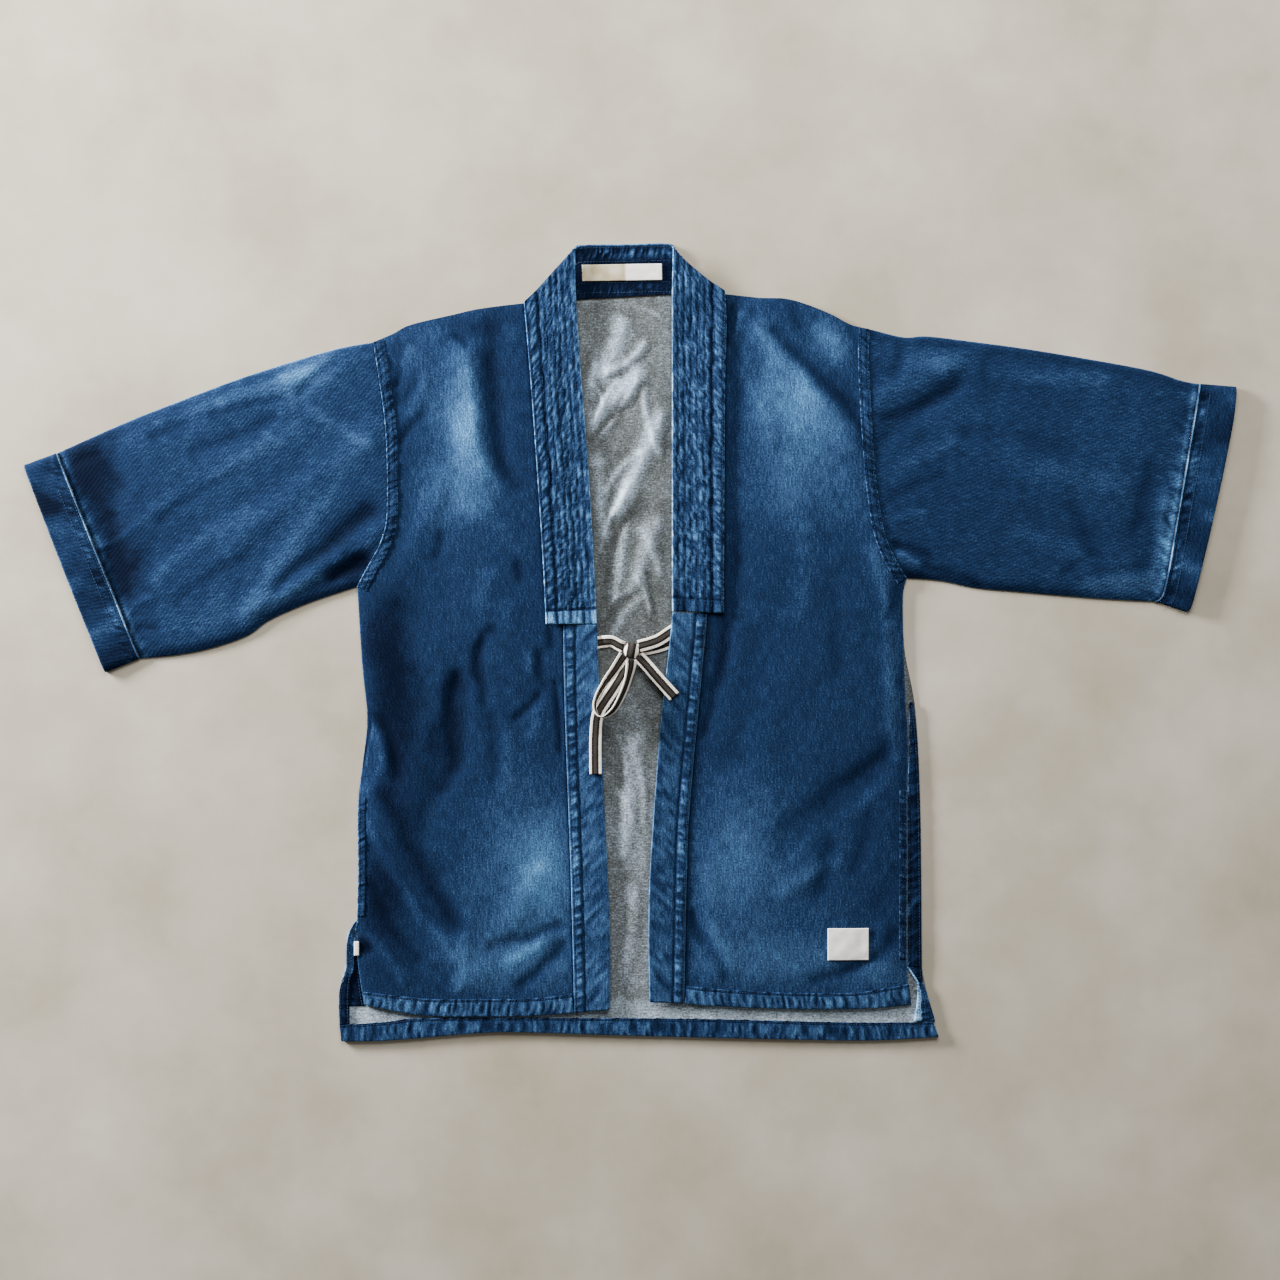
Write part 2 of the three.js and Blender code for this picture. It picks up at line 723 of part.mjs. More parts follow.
// A tape along a route, turned about its own line by the route's turn column.
function tape(name, route, steps) {
  const path = new THREE.CatmullRomCurve3(
    route.map(({ x, y, z }) => new THREE.Vector3(x, y, z)),
    false,
    "centripetal",
  );
  const points = [];
  const sections = even(steps).map((s) => {
    const centre = path.getPoint(s);
    const along = path.getTangent(s);
    const spot = s * (route.length - 1);
    const before = Math.min(Math.floor(spot), route.length - 2);
    const turn = mix(route[before].turn, route[before + 1].turn, spot - before);
    const across = new THREE.Vector3(-along.y, along.x, 0).normalize();
    across.applyAxisAngle(along, THREE.MathUtils.degToRad(turn));
    const up = new THREE.Vector3().crossVectors(along, across).normalize();
    const corner = (a, b) =>
      points.push(
        centre
          .clone()
          .addScaledVector(across, (a * TAPE.width) / 2)
          .addScaledVector(up, (b * TAPE.thick) / 2),
      ) - 1;
    return [corner(-1, -1), corner(1, -1), corner(1, 1), corner(-1, 1)];
  });
  const quads = [[...sections[0]].reverse(), sections.at(-1)];
  for (let j = 1; j < sections.length; j++)
    for (let k = 0; k < 4; k++) {
      const next = (k + 1) % 4;
      quads.push([sections[j - 1][k], sections[j - 1][next], sections[j][next], sections[j][k]]);
    }
  add(name, closedMesh(points, quads), STRIPED_TAPE);
}

backPanel();
laidStrip("back_hem", BACK.hemTop, BACK.hem, { steps: 30, thick: TURNED });
for (const side of ["right", "left"]) {
  frontPanel(side);
  frontBand(side);
  sleeve(side);
  cuff(side);
  collarStrip(side);
  laidStrip(`${side}_vent_facing`, VENTS[side].inner, VENTS[side].outer, {
    steps: 6,
    thick: CLOTH,
  });
}
backNeckCollar();
laidStrip("left_side_return", RETURN.inner, RETURN.outer, { steps: 14, thick: CLOTH });

label("neck_label", { x: -8, y: 370, width: 80, length: 16.5, turn: 0.9 }, () => COLLAR);
label(
  "hem_patch",
  { x: 218, y: -301.5, width: 41, length: 32, turn: 0 },
  (p) => FRONT_BASE + lift(p, "left") + CLOTH,
);
label("side_tab", { x: -275, y: -306.5, width: 6, length: 14, turn: 4 }, () => FRONT_BASE + CLOTH);

for (const [name, route] of Object.entries(TIES))
  tape(name, route, TAPE_STEPS * (route.length - 1));
const knot = new THREE.SphereGeometry(0.5, 14, 10);
knot.scale(KNOT.width, KNOT.length, KNOT.height);
knot.translate(KNOT.x, KNOT.y, KNOT.z);
add("bow_knot", knot, STRIPED_TAPE);

export default group;
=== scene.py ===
import math

import bmesh
import bpy
import numpy as np
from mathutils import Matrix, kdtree


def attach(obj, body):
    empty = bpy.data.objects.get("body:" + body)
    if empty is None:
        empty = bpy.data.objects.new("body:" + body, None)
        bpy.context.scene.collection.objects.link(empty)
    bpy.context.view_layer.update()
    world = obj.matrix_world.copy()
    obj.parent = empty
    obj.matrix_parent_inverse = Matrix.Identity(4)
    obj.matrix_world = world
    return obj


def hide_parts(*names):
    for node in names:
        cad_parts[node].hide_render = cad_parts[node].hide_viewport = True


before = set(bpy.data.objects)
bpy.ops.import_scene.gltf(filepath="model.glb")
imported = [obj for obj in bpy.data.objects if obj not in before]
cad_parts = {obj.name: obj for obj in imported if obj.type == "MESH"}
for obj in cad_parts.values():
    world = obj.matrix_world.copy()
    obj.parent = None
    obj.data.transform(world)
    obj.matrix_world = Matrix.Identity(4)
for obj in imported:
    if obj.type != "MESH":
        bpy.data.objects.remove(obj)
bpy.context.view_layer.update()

# The back: one panel of washed 11-ounce denim, laid face down, so that its pale wrong side shows
# between the fronts and above the back hem. Plans and heights are millimetres in the part's frame.
MM = 0.001
CLOTH = 1.0  # one layer of washed denim
GAP = 0.3  # air between layers, and between pieces at a seam

SIDES = ("right", "left")  # the wearer's
SIGN = {"right": -1, "left": 1}  # direction of x away from the middle

# Seam lines in plan, x and y.
SHOULDER = {
    "right": [
        (-257, 300.5), (-238, 308.5), (-219, 318), (-177, 328), (-150, 334), (-106, 339.5), (-89, 340.2),
    ],
    "left": [
        (240, 313.5), (221, 318), (202, 328), (179, 337.5), (156, 344), (129, 345), (95, 348.5), (78, 348.6),
    ],
}
ARMHOLE = {
    "right": [(-257, 300.5), (-251, 264), (-244, 208), (-243, 130), (-249, 101), (-262, 77), (-273, 56)],
    "left": [(240, 313.5), (239, 278.5), (243.5, 194.5), (247.5, 152), (254.5, 110), (266, 82), (277, 64.5)],
}
BACK_SIDE = {
    "right": [
        (-273, 56), (-268, -22), (-263, -75), (-270, -140), (-272, -182), (-274.5, -279), (-290, -347),
        (-287.5, -399),
    ],
    "left": [
        (277, 64.5), (273, 42.5), (275, -8), (286, -70), (291, -175), (292, -282), (292.5, -327),
        (309, -394.5),
    ],
}
BACK_HEM = [
    (-287.5, -399), (-239, -398), (-155, -391), (-106, -390), (10, -393.5), (158, -397), (243, -398),
    (309, -394.5),
]
NECK_MIDDLE = (-6, 345)
COLLAR_EDGE = {
    "right": [(-54.5, 394), (-54, 347), (-49, 270), (-43, 194), (-38, 117), (-33, 18.5)],
    "left": [(43, 395), (42, 347), (42, 270), (42, 60), (42.5, 31)],
}
FRONT_EDGE = {
    "right": [(-33, 18.2), (-30, -66), (-23, -217), (-20, -287), (-20, -367)],
    "left": [(42.5, 30.2), (38.5, -10), (30, -88), (20.5, -217), (18.5, -287), (19.5, -359.5)],
}


def smooth(low, high, x):
    share = np.clip((x - low) / (high - low), 0, 1)
    return share * share * (3 - 2 * share)


def line(*legs):
    """Closely spaced points of a smooth line through each leg in turn, with a corner between two legs."""
    steps = np.linspace(0, 1, 10, endpoint=False)[:, None]
    points = []
    for leg in legs:
        leg = np.array(leg, float)
        padded = np.vstack([leg[:1], leg, leg[-1:]])
        for before, start, end, after in zip(padded, padded[1:], padded[2:], padded[3:]):
            leave, arrive = (end - before) / 2, (after - start) / 2
            square, cube = steps**2, steps**3
            points.append(
                start * (2 * cube - 3 * square + 1)
                + leave * (cube - 2 * square + steps)
                + end * (3 * square - 2 * cube)
                + arrive * (cube - square)
            )
    return np.vstack([*points, legs[-1][-1:]])


def runs(points):
    """How far along the line each of its points lies."""
    return np.r_[0, np.cumsum(np.linalg.norm(np.diff(points, axis=0), axis=1))]


def along(points, share):
    run = runs(points)
    return np.stack([np.interp(share * run[-1], run, axis) for axis in points.T], axis=1)


def heading(points, share, reach):
    """The line's direction at each share of its length, taken over this share to both sides."""
    step = along(points, np.minimum(share + reach, 1)) - along(points, np.maximum(share - reach, 0))
    return step / np.linalg.norm(step, axis=1)[:, None]


def distance(plan, points):
    nearest = np.full(len(plan), np.inf)
    for start, end in zip(points, points[1:]):
        step = end - start
        reach = np.clip((plan - start) @ step / max(step @ step, 1e-9), 0, 1)
        nearest = np.minimum(nearest, np.linalg.norm(plan - start - reach[:, None] * step, axis=1))
    return nearest


def spread(length, step, edge=None):
    """Shares of a length that lie a step apart, and closer together towards both ends from edge on."""
    near = [0.0]
    size = edge or step
    while size < step and near[-1] + size < length / 3:
        near.append(near[-1] + size)
        size *= 1.6
    count = max(1, round((length - 2 * near[-1]) / step))
    middle = np.linspace(near[-1], length - near[-1], count + 1)
    return np.r_[near[:-1], middle, length - np.array(near[-2::-1])] / length


def add_object(name, data):
    """An object with this mesh, light or camera, left at the origin."""
    made = bpy.data.objects.new(name, data)
    bpy.context.scene.collection.objects.link(made)
    return made


def new_shape(name, operator, **settings):
    """An object with the mesh that a bmesh operator makes."""
    build = bmesh.new()
    operator(build, **settings)
    mesh = bpy.data.meshes.new(name)
    build.to_mesh(mesh)
    build.free()
    return add_object(name, mesh)


def vertex_spots(mesh):
    spots = np.zeros(len(mesh.vertices) * 3)
    mesh.vertices.foreach_get("co", spots)
    return spots.reshape(-1, 3)


def grid(name, columns, rows):
    """An object with one grid of cloth, and the shares of its width and length at each vertex."""
    most = len(columns) - 1, len(rows) - 1
    cloth = new_shape(name, bmesh.ops.create_grid, x_segments=most[0], y_segments=most[1], size=0.5)
    spots = vertex_spots(cloth.data) + 0.5
    column, row = np.rint(spots[:, :2] * most).astype(int).T
    return cloth, np.asarray(columns)[column], np.asarray(rows)[row]


def patch(u, v, start, end, first, last):
    """Plan of the spots between four lines: u runs from start to end, and v from first to last."""
    across, down = u[:, None], v[:, None]
    sides = (1 - across) * along(start, v) + across * along(end, v)
    ends = (1 - down) * along(first, u) + down * along(last, u)
    top = (1 - across) * first[0] + across * first[-1]
    bottom = (1 - across) * last[0] + across * last[-1]
    return sides + ends - (1 - down) * top - down * bottom


def soft_noise(x, y, seed):
    """Uneven values from -1 to 1 that change smoothly, about once for each unit."""
    lattice = np.random.default_rng(seed).uniform(-1, 1, (64, 64))
    column, row = np.floor(x).astype(int), np.floor(y).astype(int)
    across, down = smooth(0, 1, x - column), smooth(0, 1, y - row)

    def corner(i, j):
        return lattice[(column + i) % 64, (row + j) % 64]

    top = corner(0, 0) * (1 - across) + corner(1, 0) * across
    bottom = corner(0, 1) * (1 - across) + corner(1, 1) * across
    return top * (1 - down) + bottom * down


def creases(plan, rows, joined=False):
    """Height of soft folds. A row is a line's two ends, its bow sideways, its half width and its height.

    Joined folds fade out across their ends, so that two rows that meet make one fold of even height.
    """
    total = np.zeros(len(plan))
    for x1, y1, x2, y2, bow, width, height in rows:
        start, step = np.array([x1, y1]), np.array([x2 - x1, y2 - y1])
        length = np.hypot(*step)
        share = (plan - start) @ step / length**2
        inside = np.clip(share, 0, 1)
        off = (plan - start) @ np.array([-step[1], step[0]]) / length - bow * 4 * inside * (1 - inside)
        if joined:
            ends = smooth(-width, width, share * length) * smooth(-width, width, (1 - share) * length)
            total += height * ends * np.exp(-(off**2) / width**2)
        else:
            past = (share - inside) * length
            total += height * np.exp(-(off**2 + past**2) / width**2)
    return total


def raise_cloth(cloth, plan, height):
    """Puts each vertex at its plan and height, and turns the faces up."""
    mesh = cloth.data
    mesh.vertices.foreach_set("co", np.column_stack([plan, height]).ravel() * MM)
    mesh.update()
    highest = max(mesh.polygons, key=lambda face: face.center.z)
    if highest.normal.z < 0:
        mesh.flip_normals()
    mesh.shade_smooth()


def note(cloth, name, values):
    """Keeps a value at each vertex, for the material to read."""
    values = np.asarray(np.broadcast_to(values, len(cloth.data.vertices)), np.float32)
    cloth.data.attributes.new(name, "FLOAT", "POINT").data.foreach_set("value", values)


def lay_uv(mesh, spots):
    """Gives the cloth its own coordinates, in metres, from a spot in millimetres at each vertex."""
    corners = np.zeros(len(mesh.loops), int)
    mesh.loops.foreach_get("vertex_index", corners)
    mesh.uv_layers.new(name="cloth").data.foreach_set("uv", (spots * MM)[corners].ravel())


def lay_grain(cloth, plan, warp):
    """Lays the cloth's own coordinates with the warp threads at this angle in plan."""
    direction = math.radians(warp)
    thread = np.array([math.cos(direction), math.sin(direction)])
    weft = np.array([thread[1], -thread[0]])
    lay_uv(cloth.data, np.column_stack([plan @ weft, plan @ thread]))


def thicken(cloth, thick, *materials):
    """Gives the cloth its thickness, downwards from the face that shows."""
    for material in materials:
        cloth.data.materials.append(material)
    wall = cloth.modifiers.new("thickness", "SOLIDIFY")
    wall.thickness = thick * MM
    wall.offset = -1
    wall.material_offset = len(materials) - 1


def linear(colour):
    """An sRGB hex colour as a linear one."""
    parts = [int(colour[i : i + 2], 16) / 255 for i in (1, 3, 5)]
    return [c / 12.92 if c <= 0.04045 else ((c + 0.055) / 1.055) ** 2.4 for c in parts] + [1.0]


def node(tree, kind, inputs=None, **settings):
    """Adds a node. An input is a value, or the output that it is linked to."""
    made = tree.nodes.new("ShaderNode" + kind)
    for name, value in settings.items():
        setattr(made, name, value)
    for name, value in (inputs or {}).items():
        if isinstance(value, bpy.types.NodeSocket):
            tree.links.new(value, made.inputs[name])
        else:
            made.inputs[name].default_value = value
    return made


def new_material(name, roughness, specular):
    """A material, its node tree and its shader, with the values that are the same all over it."""
    material = bpy.data.materials.new(name)
    material.use_nodes = True
    surface = material.node_tree.nodes["Principled BSDF"]
    surface.inputs["Roughness"].default_value = roughness
    surface.inputs["Specular IOR Level"].default_value = specular
    return material, material.node_tree, surface


def set_stops(ramp, stops):
    """Sets a colour ramp's stops. A stop is its place and its colour."""
    for element, (place, colour) in zip(ramp.elements, (stops[0], stops[-1])):
        element.position = place
        element.color = linear(colour)
    for place, colour in stops[1:-1]:
        ramp.elements.new(place).color = linear(colour)


def mottled(tree, patterns, level):
    """The wear and the painted shade kept at the vertices, broken up by noise, and the noise of each pattern.

    A pattern is the width and length of its cells in metres, its detail and its share of the tone.
    """
    cloth_place = node(tree, "UVMap", uv_map="cloth").outputs["UV"]
    worn_and_shaded = node(tree, "Attribute", attribute_name="wear_and_shade").outputs["Fac"]
    noises = []
    for wide, tall, detail, share in patterns:
        cells = node(tree, "Mapping", {"Vector": cloth_place, "Scale": (1 / wide, 1 / tall, 1)})
        noise = node(tree, "TexNoise", {"Vector": cells.outputs[0], "Scale": 1.0, "Detail": detail})
        noises.append(noise.outputs[0])
        worn_and_shaded = node(tree, "Math", {0: noises[-1], 1: share, 2: worn_and_shaded}, operation="MULTIPLY_ADD").outputs[0]
    return node(tree, "Math", {0: worn_and_shaded, 1: level}, operation="SUBTRACT").outputs[0], noises


# Wrong side of indigo denim: the undyed weft covers it, so it looks pale grey, in fine lines across the
# panel, with blue flecks where the warp comes through. Its weave is drawn about twice as coarse as real.
wrong_side, tree, surface = new_material("denim_wrong_side", roughness=0.95, specular=0.1)
WEFT_PATTERNS = [
    (0.006, 0.0015, 2.0, 0.52),  # picks of the weft
    (0.0020, 0.0017, 1.0, 0.88),  # flecks of the warp
    (0.0065, 0.008, 2.0, 0.42),  # clouds from the wash
]
pale, (pick_lines, *_) = mottled(tree, WEFT_PATTERNS, level=0.90)
tone = node(tree, "ValToRGB", {"Fac": pale})
set_stops(
    tone.color_ramp, [(0, "#343637"), (0.3, "#515556"), (0.5, "#6a7176"), (0.75, "#92a2b1"), (1, "#c2d6ea")]
)
tree.links.new(tone.outputs["Color"], surface.inputs["Base Color"])
weave = node(tree, "Bump", {"Strength": 0.5, "Distance": 0.0004, "Height": pick_lines})
tree.links.new(weave.outputs["Normal"], surface.inputs["Normal"])

# Right side of washed indigo denim: dark blue where it is unworn and where shade is painted into its tone,
# mid blue over most of it and pale blue along worn folds, in streaks and flecks along the warp. The twill
# is drawn twice as coarse as real.
denim, tree, surface = new_material("washed_indigo_denim", roughness=0.9, specular=0.03)
WARP_PATTERNS = [
    (0.0017, 0.011, 2.0, 0.46),  # streaks of the slubbed warp
    (0.0012, 0.0018, 1.0, 0.56),  # flecks of the weft
    (0.012, 0.020, 2.0, 0.16),  # clouds from the wash
]
worn_and_shaded, (_, fleck_spots, _) = mottled(tree, WARP_PATTERNS, level=0.59)
tone = node(tree, "ValToRGB", {"Fac": worn_and_shaded})
set_stops(
    tone.color_ramp,
    [
        (0, "#060f22"), (0.2, "#0e1d36"), (0.4, "#172b4a"), (0.6, "#304b6f"), (0.78, "#45729f"),
        (0.9, "#5f98cc"), (1, "#8fc2f2"),
    ],
)
tree.links.new(tone.outputs["Color"], surface.inputs["Base Color"])
cloth_place = node(tree, "UVMap", uv_map="cloth").outputs["UV"]
ribs = node(tree, "Mapping", {"Vector": cloth_place, "Scale": (1 / 0.0022, 1 / 0.0034, 1)})
twill = node(
    tree,
    "TexWave",
    {"Vector": ribs.outputs[0], "Scale": 0.33, "Distortion": 2.0, "Detail": 1.0},
    bands_direction="DIAGONAL",
)
relief = node(tree, "Math", {0: twill.outputs[1], 1: 0.4, 2: fleck_spots}, operation="MULTIPLY_ADD")
weave = node(tree, "Bump", {"Strength": 0.45, "Distance": 0.0004, "Height": relief.outputs[0]})
tree.links.new(weave.outputs["Normal"], surface.inputs["Normal"])

# Folds of the back where it shows, and the smaller ones that the solid leaves out.
BACK_CREASES = [
    (-44, 215, 8, 268, 0, 8, 2.0),
    (-10, 132, 32, 225, 0, 8, 1.8),
    (-26, 268, -6, 318, 0, 9, 1.4),
    (-28, 110, -34, 180, 0, 7, 1.6),
    (6, 60, 26, 118, 0, 8, 1.4),
    (-14, 48, -4, 112, 0, 7, 1.2),
    (4, -100, -6, -210, 0, 9, 1.2),
    (-40, 196, 8, 262, -3, 3, 1.2),
    (-42, 190, -2, 236, 6, 3, -1.2),
    (-44, 262, -26, 238, 3, 3, 0.9),
    (-38, 205, -12, 262, 5, 3.5, 1.0),
    (-6, 330, 30, 296, 5, 2.5, -1.2),
    (4, 336, 38, 318, 3, 2.5, 0.8),
    (-30, 92, -6, 150, 3, 3, 0.9),
    (-20, 84, 0, 128, 2, 2.5, -0.9),
    (8, 64, 20, 30, 3, 2.5, 0.9),
    (16, 70, 30, 34, 3, 2.5, -0.8),
    (-26, 28, 2, 52, 4, 3, 0.8),
    (-14, -92, -4, -130, 3, 3, 0.7),
    (-38, 246, -35, 276, 2, 4, 1.4),
    (-22, 270, 14, 298, -4, 4, 1.5),
    (-2, 158, -15, 128, 2, 5, 1.2),
    (12, 112, 30, 70, 3, 5, 1.0),
    (0, 332, 34, 310, 3, 5, -1.4),
    (14, 250, 30, 190, -3, 4, 1.1),
    (-24, 150, 10, 190, 4, 4, 1.0),
    (-20, 0, 12, 44, 4, 5, 0.8),
    (-4, -40, 14, -92, -3, 6, 0.8),
    (10, -120, 16, -180, 2, 5, 0.8),
    (-12, -150, 4, -176, 2, 4, 0.7),
    (6, -250, -8, -330, 3, 8, 0.7),
]
BACK_CALM = 12  # the back lies flat from this far inside the front edges
free_edges = {side: line(COLLAR_EDGE[side], FRONT_EDGE[side]) for side in SIDES}


def back_lift(plan):
    """How far the back is lifted in its folds, where it shows between the edges of the fronts."""
    shown = np.ones(len(plan))
    for side in SIDES:
        edge = free_edges[side][::-1]
        shown *= smooth(0, BACK_CALM, distance(plan, edge))
        shown *= SIGN[side] * (np.interp(plan[:, 1], edge[:, 1], edge[:, 0]) - plan[:, 0]) > 0
    return np.maximum(shown * creases(plan, BACK_CREASES), 0)


# The back's columns lie closest together where it shows, between the free edges of the fronts.
BACK_COLUMNS = np.r_[np.linspace(0, 0.39, 34), np.linspace(0.392, 0.6, 86), np.linspace(0.61, 1, 34)]
BACK_LENGTH = 707  # at its side, from shoulder to hem
back, u, v = grid("back_panel_cloth", BACK_COLUMNS, spread(BACK_LENGTH, 2.9))
neck = [SHOULDER["right"][-2], NECK_MIDDLE, SHOULDER["left"][-2]]
back_plan = patch(
    u,
    v,
    start=line(ARMHOLE["right"], BACK_SIDE["right"]),
    end=line(ARMHOLE["left"], BACK_SIDE["left"]),
    first=line(SHOULDER["right"][:-1], neck, SHOULDER["left"][-2::-1]),
    last=line(BACK_HEM),
)
rumple = back_lift(back_plan)
raise_cloth(back, back_plan, CLOTH + rumple)
x, y = back_plan.T
bluer_top = 0.12 * smooth(-100, 340, y)
blotches = 0.10 * soft_noise(x / 11, y / 17, 5) + 0.15 * smooth(-60, -220, y)
# Painted shade: the back is darkened where it lies flat above the waist, as beside the edges of the fronts.
painted_shade_where_flat = 0.14 * smooth(0, 1, 0.6 - rumple) * smooth(-60, 20, y)
hem_strip = 0.22 * smooth(-352, -362, y)
note(back, "wear_and_shade", 0.33 + bluer_top + blotches + 0.19 * rumple - painted_shade_where_flat + hem_strip)
lay_grain(back, back_plan, 90)
thicken(back, CLOTH, wrong_side, denim)
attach(back, "root")
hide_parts("back_panel")

# The back's hem and vents: the panel's own edges turned up twice and topstitched, so that the blue right
# side shows. The stitching gathers them into uneven puckers across the strip.
HEM_RISE = 1.5  # thickness of the turned hem
BACK_HEM_STITCH = [
    (-286, -382.5), (-245, -379.5), (-200, -375.6), (-45, -375.6), (74, -376.5), (221, -380), (303, -379.5),
]
RIGHT_VENT = {
    "inner": [(-277.5, -329), (-280.5, -347), (-280.5, -382)],
    "outer": [(-285, -329), (-290.6, -347), (-291.4, -364), (-290.8, -383)],
}
LEFT_VENT = {
    "inner": [(288.6, -340.5), (290.6, -352), (291.5, -379)],
    "outer": [(293.4, -340.5), (297.5, -352), (305.6, -379)],
}
LEFT_VENT_EDGE = {
    "inner": [(277, -324.8), (286.8, -340), (287.6, -352), (284.4, -378.6)],
    "outer": [(278.6, -324.4), (288.8, -339.8), (290.8, -352), (291.7, -378.6)],
}
RETURN_END = {
    "inner": [(279.6, -323.6), (285, -332), (290, -340)],
    "outer": [(292, -323.6), (292.6, -332), (293, -340.5)],
}
SIDE_FOLD = {
    "inner": [(-272, -279), (-274.5, -293), (-276.4, -308), (-277, -328), (-284.8, -340)],
    "outer": [(-275.2, -279), (-281.4, -290), (-283.6, -302), (-284.4, -328), (-288, -341)],
}
UNDERLAP = {
    "inner": [(-272, -314), (-269, -345), (-266, -364)],
    "outer": [(-279.5, -314), (-282.6, -347), (-281.5, -364)],
}
RETURN = {
    "inner": [(279, -60), (279.2, -100), (278, -148), (278, -217), (278, -324)],
    "outer": [(283.4, -60), (287.6, -100), (289.8, -148), (291, -217), (292, -324)],
}


class Strip:
    """A long narrow grid between two lines, and each vertex's place along it, across it and from its rim."""

    def __init__(self, name, inner, outer, step=1.6, edge=0.45):
        self.inner, self.outer = inner, outer
        length = runs(outer)[-1]
        half = np.array([0.5])
        width = np.linalg.norm(along(inner, half) - along(outer, half))
        self.cloth, u, v = grid(name, spread(width, step, edge), spread(length, step, edge))
        start, end = along(inner, v), along(outer, v)
        wide = np.linalg.norm(end - start, axis=1)
        self.plan = start + u[:, None] * (end - start)
        self.across, self.run = u * wide, v * length
        self.from_outer = wide - self.across
        self.rim = np.minimum.reduce([self.across, self.from_outer, self.run, length - self.run])

    def row(self, off):
        """The line in plan along the strip, this far from its inner line or, if negative, its outer one."""
        shares = np.linspace(0.01, 0.99, 200)
        start, end = along(self.inner, shares), along(self.outer, shares)
        across = (end - start) / np.linalg.norm(end - start, axis=1)[:, None]
        return (start if off > 0 else end) + off * across


def rolled(rim, radius=1.2):
    """Share of the full height at this distance from a folded edge."""
    inside = np.clip(1 - rim / radius, 0, 1)
    return np.sqrt(1 - inside**2)


def pucker(run, across, pitch, slant, seed, reach=10):
    """Uneven ridges across a seam, -1 to 1, as stitched denim has once it is washed."""
    wander = 0.6 * soft_noise(run / 17, across / 9, seed + 1)
    return soft_noise((run + slant * across) / pitch + wander, across / reach, seed)


def bell(off, half_width=0.9):
    """A smooth rise from 0 to 1 and back across a line. Its usual width is that of a stitched ditch."""
    return np.exp(-((off / half_width) ** 2))


def worn_line(off, run, seed):
    """A thin line at an edge, 0 to 1, uneven along its run, where the wash took the colour."""
    return (0.8 + 0.25 * soft_noise(run / 4, run / 70, seed)) * bell(off, 0.75)


# Topstitching thread, twisted cotton dyed a darker navy than the washed denim, so that each row reads as a
# thin dark line. The stitches lie in the ditch that they pull.
thread_cotton, tree, surface = new_material("blue_topstitching_thread", roughness=0.8, specular=0.15)
object_place = node(tree, "TexCoord").outputs["Object"]
washed = node(tree, "TexNoise", {"Vector": object_place, "Scale": 90.0, "Detail": 2.0})
tone = node(tree, "ValToRGB", {"Fac": washed.outputs[0]})
set_stops(tone.color_ramp, [(0.3, "#0a1526"), (0.7, "#2c4768")])
tree.links.new(tone.outputs["Color"], surface.inputs["Base Color"])
twist = node(tree, "TexNoise", {"Vector": object_place, "Scale": 2500.0})
ply = node(tree, "Bump", {"Strength": 0.3, "Distance": 0.0001, "Height": twist.outputs[0]})
tree.links.new(ply.outputs["Normal"], surface.inputs["Normal"])

STITCH_PITCH = 3.0
STITCH = (2.5, 0.6, 0.5)  # length, width and height of a stitch
STITCH_PROUD = 0.08  # its middle stands this far above the cloth
DEEPEST = 2  # a stitched face lies no further than this below the mean height
build = bmesh.new()
bmesh.ops.create_uvsphere(build, u_segments=5, v_segments=3, radius=0.5)
stitch_spots = np.array([vertex.co for vertex in build.verts])[:, [2, 0, 1]] * STITCH
stitch_faces = [[vertex.index for vertex in face.verts] for face in build.faces]
build.free()


def sew(cloth, rows):
    """Stitches along each line in plan, lying on the cloth's upper face, as one mesh."""
    co = vertex_spots(cloth.data) / MM
    lowest = co[:, 2].mean() - DEEPEST
    finder = kdtree.KDTree(len(co))
    for index, (x, y, z) in enumerate(co):
        if z > lowest:
            finder.insert((x, y, 0), index)
    finder.balance()
    spots, faces = [], []
    for row in rows:
        count = int(runs(row)[-1] / STITCH_PITCH)
        shares = (np.arange(count) + 0.5) / count
        for (x, y), (cos, sin) in zip(along(row, shares), heading(row, shares, 0.3 / count)):
            turn = np.array([[cos, sin, 0], [-sin, cos, 0], [0, 0, 1]])
            height = co[finder.find((x, y, 0))[1]][2]
            first = len(spots) * len(stitch_spots)
            faces += [[first + corner for corner in face] for face in stitch_faces]
            spots.append(stitch_spots @ turn + (x, y, height + STITCH_PROUD))
    mesh = bpy.data.meshes.new(f"{cloth.name}_stitching")
    mesh.from_pydata(np.vstack(spots) * MM, [], faces)
    mesh.shade_smooth()
    mesh.materials.append(thread_cotton)
    thread = add_object(mesh.name, mesh)
    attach(thread, "root")
    return thread


SEW_IN = 2.0  # a row of stitches runs this far from the edge that it holds
SEWN_DEPTH = 0.35  # and pulls the cloth down this far
RIDGE_TONE = 0.26  # how much paler the crest of a pucker is


